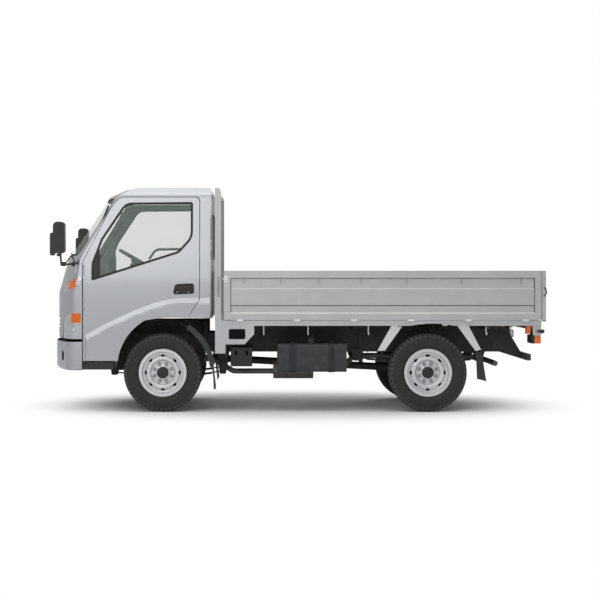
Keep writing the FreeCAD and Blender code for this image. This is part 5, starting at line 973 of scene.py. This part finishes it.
class TRUCK_OT_bumper(Piece):
    """Makes the bumper and the bars of its intake"""

    bl_idname = "truck.bumper"
    bl_label = "Bumper"

    def make(self, scene):
        dress("front_bumper", "bumper_silver", sizes().panel_edge)
        built(self.intake, "bumper_intake", "seal", "truck", slot="dark_plastic", edge=0.001)

    def intake(self, mesh):
        box(mesh, (-2.300, -0.350, 0.396), (-2.292, 0.350, 0.560))
        for i in range(3):
            foot = 0.458 + i * 0.020
            box(mesh, (-2.312, -0.350, foot), (-2.299, 0.350, foot + 0.005))


class TRUCK_OT_wheels(Piece):
    """Makes tyres, rims, nuts, black rings of painted shade behind the hand holes, and hub caps"""

    bl_idname = "truck.wheels"
    bl_label = "Wheels"

    # Half of a tyre's profile without its grooves: how far out, and the radius
    wall = (
        (0.071, 0.2034), (0.071, 0.2254), (0.0795, 0.2330), (0.0880, 0.2400), (0.0925, 0.2560),
        (0.0945, 0.2570), (0.0950, 0.2600), (0.0970, 0.2750), (0.0975, 0.2900), (0.0970, 0.3060),
        (0.0963, 0.3070), (0.0955, 0.3120), (0.0948, 0.3200), (0.0925, 0.3360), (0.0880, 0.3500),
        (0.0830, 0.3575), (0.0765, 0.3625), (0.0700, 0.3650), (0.0560, 0.3672),
    )
    # A nut's washer, hexagon and stud: from and to, first and last radius as shares, sides
    nut = (0.0, 0.004, 1.25, 1.15, 24), (0.003, 0.021, 1.0, 0.93, 6), (0.018, 0.029, 0.5, 0.42, 12)
    # Pairs of how far out and the radius, as in the profile
    # A black ring just behind the disc, across the hand holes: a dark sheet of painted shade.
    shield = (-0.030, 0.148), (-0.030, 0.1745), (-0.027, 0.1745), (-0.027, 0.148)
    ring = (0.0675, 0.0), (0.0676, 0.020), (0.0710, 0.0225), (0.0710, 0.031), (0.0675, 0.0335)

    def make(self, scene):
        for wheel, (x, side) in WHEELS.items():
            centre = Vector((x, side * WHEEL_OUT, WHEEL_HEIGHT))
            out = Vector((0, side, 0))
            body = f"{wheel}_wheel"
            self.tyre(wheel, centre, body)
            self.rim(wheel, centre, side)
            built(lambda mesh: self.nuts(mesh, centre, out), f"{wheel}_nuts", "nut", body,
                  slot="wheel_silver", edge=0.0008)
            for name, look, profile, steps in (
                # The first piece is the black ring of painted shade behind the hand holes.
                ("drum_shade_ring", "chassis_black", self.shield, 48),
                ("cap_ring", "hub_cap", self.ring, 40),
            ):
                built(lambda mesh: turned(mesh, profile, centre, out, steps), f"{wheel}_{name}",
                      look, body, slot="wheel_silver")

    def tyre(self, wheel, centre, body):
        """Side walls with two fine ribs, four grooves round the tread and blocks at its edges."""
        groove, blocks = sizes().tread_groove, sizes().tread_steps
        slot_share, slot_depth, crown = 0.34, 0.8, 0.366
        half = [
            *self.wall,
            (0.0555, 0.3672 - groove), (0.0480, 0.3676 - groove), (0.0475, 0.3676),
            (0.0220, 0.3686), (0.0215, 0.3688 - groove), (0.0125, 0.3690 - groove),
            (0.0120, 0.3690),
        ]
        mesh = bmesh.new()
        turned(mesh, half + [(-u, r) for u, r in reversed(half)], centre, (0, 1, 0), blocks * 3)
        slots = []
        for face in mesh.faces:
            across = face.calc_center_median() - centre
            angle = math.atan2(across.z, across.x) / (2 * math.pi) * blocks
            reach = math.hypot(across.x, across.z)
            shoulder = 0.0565 < abs(across.y) < 0.0935 and reach > TREAD_START
            rib = 0.0225 < abs(across.y) < 0.047 and reach > crown
            offset = 0.0 if across.y > 0 else 0.5
            if shoulder and (angle + offset) % 1.0 < slot_share:
                slots.append(face)
            elif rib and (angle + 0.5 - offset) % 1.0 < slot_share:
                slots.append(face)
        sunk = bmesh.ops.extrude_face_region(mesh, geom=slots)["geom"]
        bmesh.ops.delete(mesh, geom=slots, context="FACES_ONLY")
        for vert in verts_of(sunk):
            inward = Vector((centre.x - vert.co.x, 0, centre.z - vert.co.z)).normalized()
            vert.co += inward * groove * slot_depth
        bmesh.ops.recalc_face_normals(mesh, faces=mesh.faces)
        # The tread takes the lighter dusty rubber, and the wall by the rim takes the darkest black as
        # painted shade.
        looks_by_place(
            mesh,
            lambda m, n: from_hub(m, centre) > TREAD_START,
            lambda m, n: from_hub(m, centre) < BEAD_END,
        )
        # The slots' floors and sides take the darkest black: painted shade in the slots.
        for item in sunk:
            if isinstance(item, bmesh.types.BMFace):
                item.material_index = 2
        finished(mesh, f"{wheel}_tyre_moulded", ("tyre_rubber", "tread_rubber", "seal"), body,
                 "tyre_rubber", (f"{wheel}_tyre",), crease=35.0)

    def rim(self, wheel, centre, side):
        """The steel wheel, its disc's back painted black within the hand holes' circle as painted
        shade, and with a black hub cap.
        """
        disc_back, holes_end, cap_back, cap_radius = 0.0235, 0.168, 0.0345, 0.0555

        def out(m):
            return (m.y - centre.y) * side

        # The disc's back within the hand holes' circle is painted black: painted shade seen through
        # the holes.
        dress(f"{wheel}_rim", ("wheel_silver", "chassis_black", "hub_cap"), tests=(
            lambda m, n: out(m) < disc_back and from_hub(m, centre) < holes_end,
            lambda m, n: out(m) > cap_back and from_hub(m, centre) < cap_radius,
        ), mesh=node_mesh(f"{wheel}_rim", 0.0))

    def nuts(self, mesh, centre, out):
        """Hexagon nuts with their washers and studs, in a ring on the disc's face."""
        count, circle, radius, face = sizes().nuts, sizes().nut_circle, sizes().nut_radius, 0.0335
        for i in range(count):
            angle = 2 * math.pi * (i + 0.5) / count
            foot = centre + Vector((math.cos(angle), 0, math.sin(angle))) * circle + out * face
            for start, end, wide, tip, sides in self.nut:
                bar(mesh, foot + out * start, foot + out * end, radius * wide, sides, radius * tip)


class TRUCK_OT_bed(Piece):
    """Makes the bed, its gates and the guard frame"""

    bl_idname = "truck.bed"
    bl_label = "Bed"

    def make(self, scene):
        edge = sizes().frame_edge
        sill_inside, deck_foot, hinge_top, leaf_face = 0.775, 0.850, 0.8765, 0.8325
        for node in ("guard_frame", "tail_gate"):
            dress(node, "bed_paint", edge)
        dress("deck_floor", "deck", edge, "bed_paint")
        dress("bed_frame", ("bed_paint", "chassis_black"), edge,
              tests=[lambda m, n: abs(m.y) < sill_inside and m.z < deck_foot])
        for side in SIDES:
            # The hinge leaves low on each side gate take the bright zinc grey: a painted highlight.
            dress(f"{side}_gate", ("bed_paint", "zinc"), edge, tests=[
                lambda m, n: m.z < hinge_top and abs(m.y) > leaf_face and abs(n.x) < 0.5])


class TRUCK_OT_bed_fittings(Piece):
    """Makes the latches, the gates' strips of painted shade and painted highlight, hooks, stops and
    bolts of the bed
    """

    bl_idname = "truck.bed_fittings"
    bl_label = "Bed Fittings"

    def make(self, scene):
        for make, name, look, body, edge in (
            (self.front_latch, "front_latch", "nut", "truck", 0.0008),
            (self.gate_plate, "gate_latch_plate", "zinc", "{}_gate", 0.0008),
            (self.rail_hooks, "gate_rail_hooks", "nut", "{}_gate", 0.0),
            # A pale strip on the side gate's lower rail: a painted highlight.
            (self.rail_bead, "gate_rail_bead", "zinc", "{}_gate", 0.003),
            # Dark strips of painted shade on the side gate, under its top rail, along its step and
            # beside its stiles.
            (self.gate_seams, "gate_seams", "seal", "{}_gate", 0.0),
            (self.rope_hooks, "rope_hooks", "zinc", "truck", 0.0),
            (self.bracket_bolts, "bracket_bolts", "bolt", "truck", 0.0006),
            (self.tail_knob, "tail_gate_pins", "bolt", "tail_gate", 0.0006),
            (self.tail_latch, "tail_latch", "dark_plastic", "tail_gate", 0.0),
            (self.tail_stop, "tail_stop", "dark_plastic", "truck", 0.001),
        ):
            paired(make, name, look, body, slot="bed_paint", edge=edge)

    def front_latch(self, mesh):
        """The latch post's plate with its three bolts and its bent lever."""
        x, y = -0.7385, -0.8255
        box(mesh, (x - 0.012, y - 0.0035, 1.085), (x + 0.012, y + 0.002, 1.275))
        for z in (1.262, 1.235, 1.098):
            pin(mesh, x, z, y - 0.002, y - 0.010, 0.0062)
        rod_along(mesh, 0.0042, (-0.7425, y - 0.010, 1.208), (-0.7365, y - 0.012, 1.180),
                  (-0.7450, y - 0.012, 1.150), (-0.7400, y - 0.010, 1.118))

    def gate_plate(self, mesh):
        """The catch at the side gate's front upper corner, with its bolts and pin."""
        box(mesh, (-0.6875, -0.8362, 1.222), (-0.6505, -0.8312, 1.282))
        for z in (1.232, 1.272):
            pin(mesh, -0.669, z, -0.835, -0.8395, 0.0062)
        bar(mesh, (-0.6850, -0.8370, 1.252), (-0.705, -0.8370, 1.252), 0.006, 12)

    def rail_hooks(self, mesh):
        """Small hooks that hang from round-headed bolts under the side gate's top rail."""
        for x in map(from_photo, RAIL_HOOK_COLUMNS):
            pin(mesh, x, 1.263, -0.826, -0.8385, 0.0075, 12, 0.006)
            box(mesh, (x - 0.0045, -0.8275, 1.206), (x + 0.0045, -0.8190, 1.262))

    def rail_bead(self, mesh):
        """The pale bead along the top of the gate's lower rail: a painted highlight."""
        box(mesh, (-0.628, -0.8335, 0.9225), (2.230, -0.8215, 0.9400))

    def gate_seams(self, mesh):
        """Dark strips where the gate's sheet meets its rails, stiles and low step: painted shade
        under the top rail's lip, along the step and beside the stiles.
        """
        front, rear = GATE_ENDS
        box(mesh, (front, -0.8265, 1.2560), (rear, -0.8190, 1.2625))
        box(mesh, (front, -0.8282, 1.0015), (rear, -0.8225, 1.0065))
        for x in GATE_ENDS:
            box(mesh, (x - 0.0026, -0.8315, 0.9395), (x + 0.0026, -0.8190, 1.2600))

    def rope_hooks(self, mesh):
        """Bent rod hooks under the deck's side sill."""
        for x in map(from_photo, ROPE_HOOK_COLUMNS):
            rod_along(mesh, 0.0060, (x, -0.780, 0.8125), (x, -0.780, 0.750),
                      (x, -0.7900, 0.732), (x, -0.8080, 0.730), (x, -0.8180, 0.748))

    def bracket_bolts(self, mesh):
        """Bolts of the plates that carry the bed's front corner, and its tail plates."""
        places = (-0.681, 0.839), (-0.705, 0.675), (-0.724, 0.596), (2.237, 0.760), (2.268, 0.748)
        for x, z in places:
            pin(mesh, x, z, -0.8145, -0.8235, 0.0085)
            pin(mesh, x, z, -0.8230, -0.8250, 0.0045, 12)

    def tail_knob(self, mesh):
        pin(mesh, 2.318, 1.254, -0.822, -0.840, 0.011, 20)

    def tail_stop(self, mesh):
        """The rubber stop on the tail plate, which the tail gate rests on when it hangs."""
        y, z = -0.806, 0.760
        bar(mesh, (2.252, y, z), (2.312, y, z), 0.0190, 24)
        bar(mesh, (2.3115, y, z), (2.3215, y, z), 0.0185, 24, 0.0130)

    def tail_latch(self, mesh):
        """The bent handle that holds the tail gate's upper corner."""
        rod_along(mesh, 0.0052, (2.313, -0.836, 1.172), (2.330, -0.840, 1.160),
                  (2.337, -0.840, 1.125), (2.326, -0.840, 1.100), (2.313, -0.836, 1.094))


class TRUCK_OT_chassis(Piece):
    """Makes the frame, axles, springs, tank, battery box, exhaust and guards"""

    bl_idname = "truck.chassis"
    bl_label = "Chassis"

    black = (
        "chassis_frame", "front_axle_beam", "leaf_springs", "left_knuckle", "right_knuckle",
        "tie_rod", "rear_axle", "prop_shaft", "underrun_bar",
    )

    def make(self, scene):
        for node in self.black:
            dress(node, "chassis_black")
        dress("engine", "engine_iron", 0.004)
        dress("exhaust", "exhaust_steel")
        self.tank()
        dress("battery_box", "seal", 0.005, "dark_plastic")
        dress("front_mudguards", "dark_plastic", 0.0012)
        # The guard's lip takes the tank's grey, a little lighter than the guard's black: a painted
        # highlight on the turned edge.
        paired(self.guard_lip, "front_guard_lip", "tank", "truck", slot="dark_plastic")
        paired(self.flap_web, "rear_flap_web", "dark_plastic", "truck", edge=0.001)
        # The stays' outer faces take the bright zinc grey, though they are painted like the bed: a
        # painted highlight.
        dress("rear_mudguards", ("dark_plastic", "zinc"), 0.0012,
              tests=[lambda m, n: abs(n.y) > 0.9 and self.is_stay(m)],
              mesh=node_mesh("rear_mudguards", 0.0))
        paired(self.bolts, "frame_bolts", "chassis_black", "truck", edge=0.0008)
        built(self.hanger, "pipe_bracket", "dark_plastic", "truck", edge=0.001)
        built(self.clips, "battery_clips", "dark_plastic", "truck", edge=0.001)

    def guard_lip(self, mesh):
        """The turned outer edge of the front guard and of its flap, widened off its face."""
        flap_top, bed_foot, face, depth = 0.43, 0.800, -0.780, 0.004
        lip_out, lip_in, flap_side = 0.026, 0.020, 0.008
        mesh.from_mesh(frame["nodes"]["front_mudguards"].data)
        bmesh.ops.remove_doubles(mesh, verts=mesh.verts, dist=1e-5)
        mesh.normal_update()
        others = []
        for f in mesh.faces:
            middle = f.calc_center_median()
            if not (f.normal.y < -0.9 and middle.y < face and middle.z < bed_foot):
                others.append(f)
        bmesh.ops.delete(mesh, geom=others, context="FACES")
        hub = Vector((FRONT_AXLE, 0, WHEEL_HEIGHT))
        places = {vert: vert.co.copy() for vert in mesh.verts}
        for vert, place in places.items():
            beside = (p for v, p in places.items() if v is not vert)
            near = min(beside, key=lambda p: (p - place).length)
            outer = from_hub(place, hub) > from_hub(near, hub)
            if place.z > flap_top:
                out = Vector((place.x - hub.x, 0, place.z - hub.z)).normalized()
                vert.co = place + out * (lip_out if outer else -lip_in)
            else:
                vert.co = place + Vector((flap_side if outer else -flap_side, 0, 0))
        thicken(mesh, list(mesh.faces), (0, -depth, 0))

    def flap_web(self, mesh):
        """The turned edge of the rear flap."""
        corners = (1.737, 0.568), (1.680, 0.568), (1.691, 0.313), (1.777, 0.291)
        face = mesh.faces.new([mesh.verts.new((x, -0.7975, z)) for x, z in corners])
        thicken(mesh, [face], (0, 0.005, 0))

    def is_stay(self, m):
        """True for the sloping plates ahead of and behind the rear guard's arc."""
        foot, rise, lowest, half_width = 0.577, 0.200, 0.590, 0.050
        share = (m.z - foot) / rise
        front, rear = 0.789 + share * 0.150, 1.705 - share * 0.147
        return m.z > lowest and (abs(m.x - front) < half_width or abs(m.x - rear) < half_width)

    def tank(self):
        """The tank with dark strap liners, its straps' edges and bolts, and a pressed seam."""
        low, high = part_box("fuel_tank")
        half_strap, strap_top, tank_top, strap_edge = 0.0315, 0.656, 0.660, 0.022
        places = [low[0] + (high[0] - low[0]) * share for share in (0.22, 0.78)]
        dress("fuel_tank", ("tank", "seal", "dark_plastic"), 0.003, tests=(
            lambda m, n: any(abs(m.x - x) < half_strap for x in places) and m.z < strap_top,
            lambda m, n: m.z > tank_top,
        ))

        def bands(mesh):
            for x in places:
                for edge in (x - strap_edge, x + strap_edge):
                    box(mesh, (edge - 0.004, -0.7985, 0.405), (edge + 0.004, -0.7938, 0.620))
                bar(mesh, (x, -0.788, 0.628), (x, -0.788, 0.665), 0.006, 10)

        def seam(mesh):
            box(mesh, (0.020, -0.7925, 0.527), (0.275, -0.7895, 0.533))

        for make, name in ((bands, "tank_strap_bands"), (seam, "tank_seam")):
            built(make, name, "tank", "truck", slot="chassis_black", edge=0.001)

    def bolts(self, mesh):
        """Two rows of bolts along the frame's rail, and black plugs in its holes: painted shade where
        one would see through.
        """
        first, pitch, first_hole, hole_pitch = -0.66, 0.175, -0.651, 0.310
        for i in range(15):
            for z in (0.566, 0.704):
                pin(mesh, first + i * pitch, z, -0.3448, -0.3535, 0.0085)
        # Black plugs fill the rail's holes: dark discs of painted shade.
        for i in range(9):
            pin(mesh, first_hole + i * hole_pitch, 0.635, -0.3395, -0.3360, 0.0260, 20)

    def hanger(self, mesh):
        """The bracket that carries the exhaust's pipe on the frame's rail."""
        x, half = 0.632, 0.020
        box(mesh, (x - half, -0.357, 0.445), (x + half, -0.3445, 0.725))
        for z in (0.560, 0.700):
            pin(mesh, x, z, -0.350, -0.363, 0.007)

    def clips(self, mesh):
        """The joint of the battery box's lid and the clips that hold it down."""
        low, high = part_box("battery_box")
        box(mesh, (low[0] + 0.004, low[1] + 0.0005, high[2] - 0.052),
            (high[0] - 0.004, low[1] + 0.0035, high[2] - 0.044))
        for x in (low[0] + 0.05, high[0] - 0.05):
            box(mesh, (x - 0.010, low[1], high[2] - 0.075),
                (x + 0.010, low[1] + 0.004, high[2] - 0.03))


OPERATORS = (
    TRUCK_OT_stage,
    TRUCK_OT_cab_body,
    TRUCK_OT_glazing,
    TRUCK_OT_lamps,
    TRUCK_OT_fittings,
    TRUCK_OT_cabin,
    TRUCK_OT_bumper,
    TRUCK_OT_wheels,
    TRUCK_OT_bed,
    TRUCK_OT_bed_fittings,
    TRUCK_OT_chassis,
)


class TRUCK_PT_finisher(bpy.types.Panel):
    """Lists the truck's pieces, sizes and colours"""

    bl_idname = "TRUCK_PT_finisher"
    bl_label = "Drop-side Truck"
    bl_space_type = "VIEW_3D"
    bl_region_type = "UI"
    bl_category = "Truck"

    def draw(self, context):
        layout = self.layout
        for operator in OPERATORS:
            layout.operator(operator.bl_idname)
        for group in (context.scene.truck_sizes, context.scene.truck_colours):
            rows = layout.box()
            for name in group.__annotations__:
                rows.prop(group, name)


CLASSES = (TruckSizes, TruckColours, *OPERATORS, TRUCK_PT_finisher)


def register():
    for cls in CLASSES:
        bpy.utils.register_class(cls)
    bpy.types.Scene.truck_sizes = PointerProperty(type=TruckSizes)
    bpy.types.Scene.truck_colours = PointerProperty(type=TruckColours)


def unregister():
    del bpy.types.Scene.truck_sizes
    del bpy.types.Scene.truck_colours
    for cls in reversed(CLASSES):
        bpy.utils.unregister_class(cls)


def main():
    register()
    bpy.ops.truck.stage()
    bpy.ops.truck.cab_body()
    bpy.ops.truck.glazing()
    bpy.ops.truck.lamps()
    bpy.ops.truck.fittings()
    bpy.ops.truck.cabin()
    bpy.ops.truck.bumper()
    bpy.ops.truck.wheels()
    bpy.ops.truck.bed()
    bpy.ops.truck.bed_fittings()
    bpy.ops.truck.chassis()


if __name__ == "__main__":
    main()
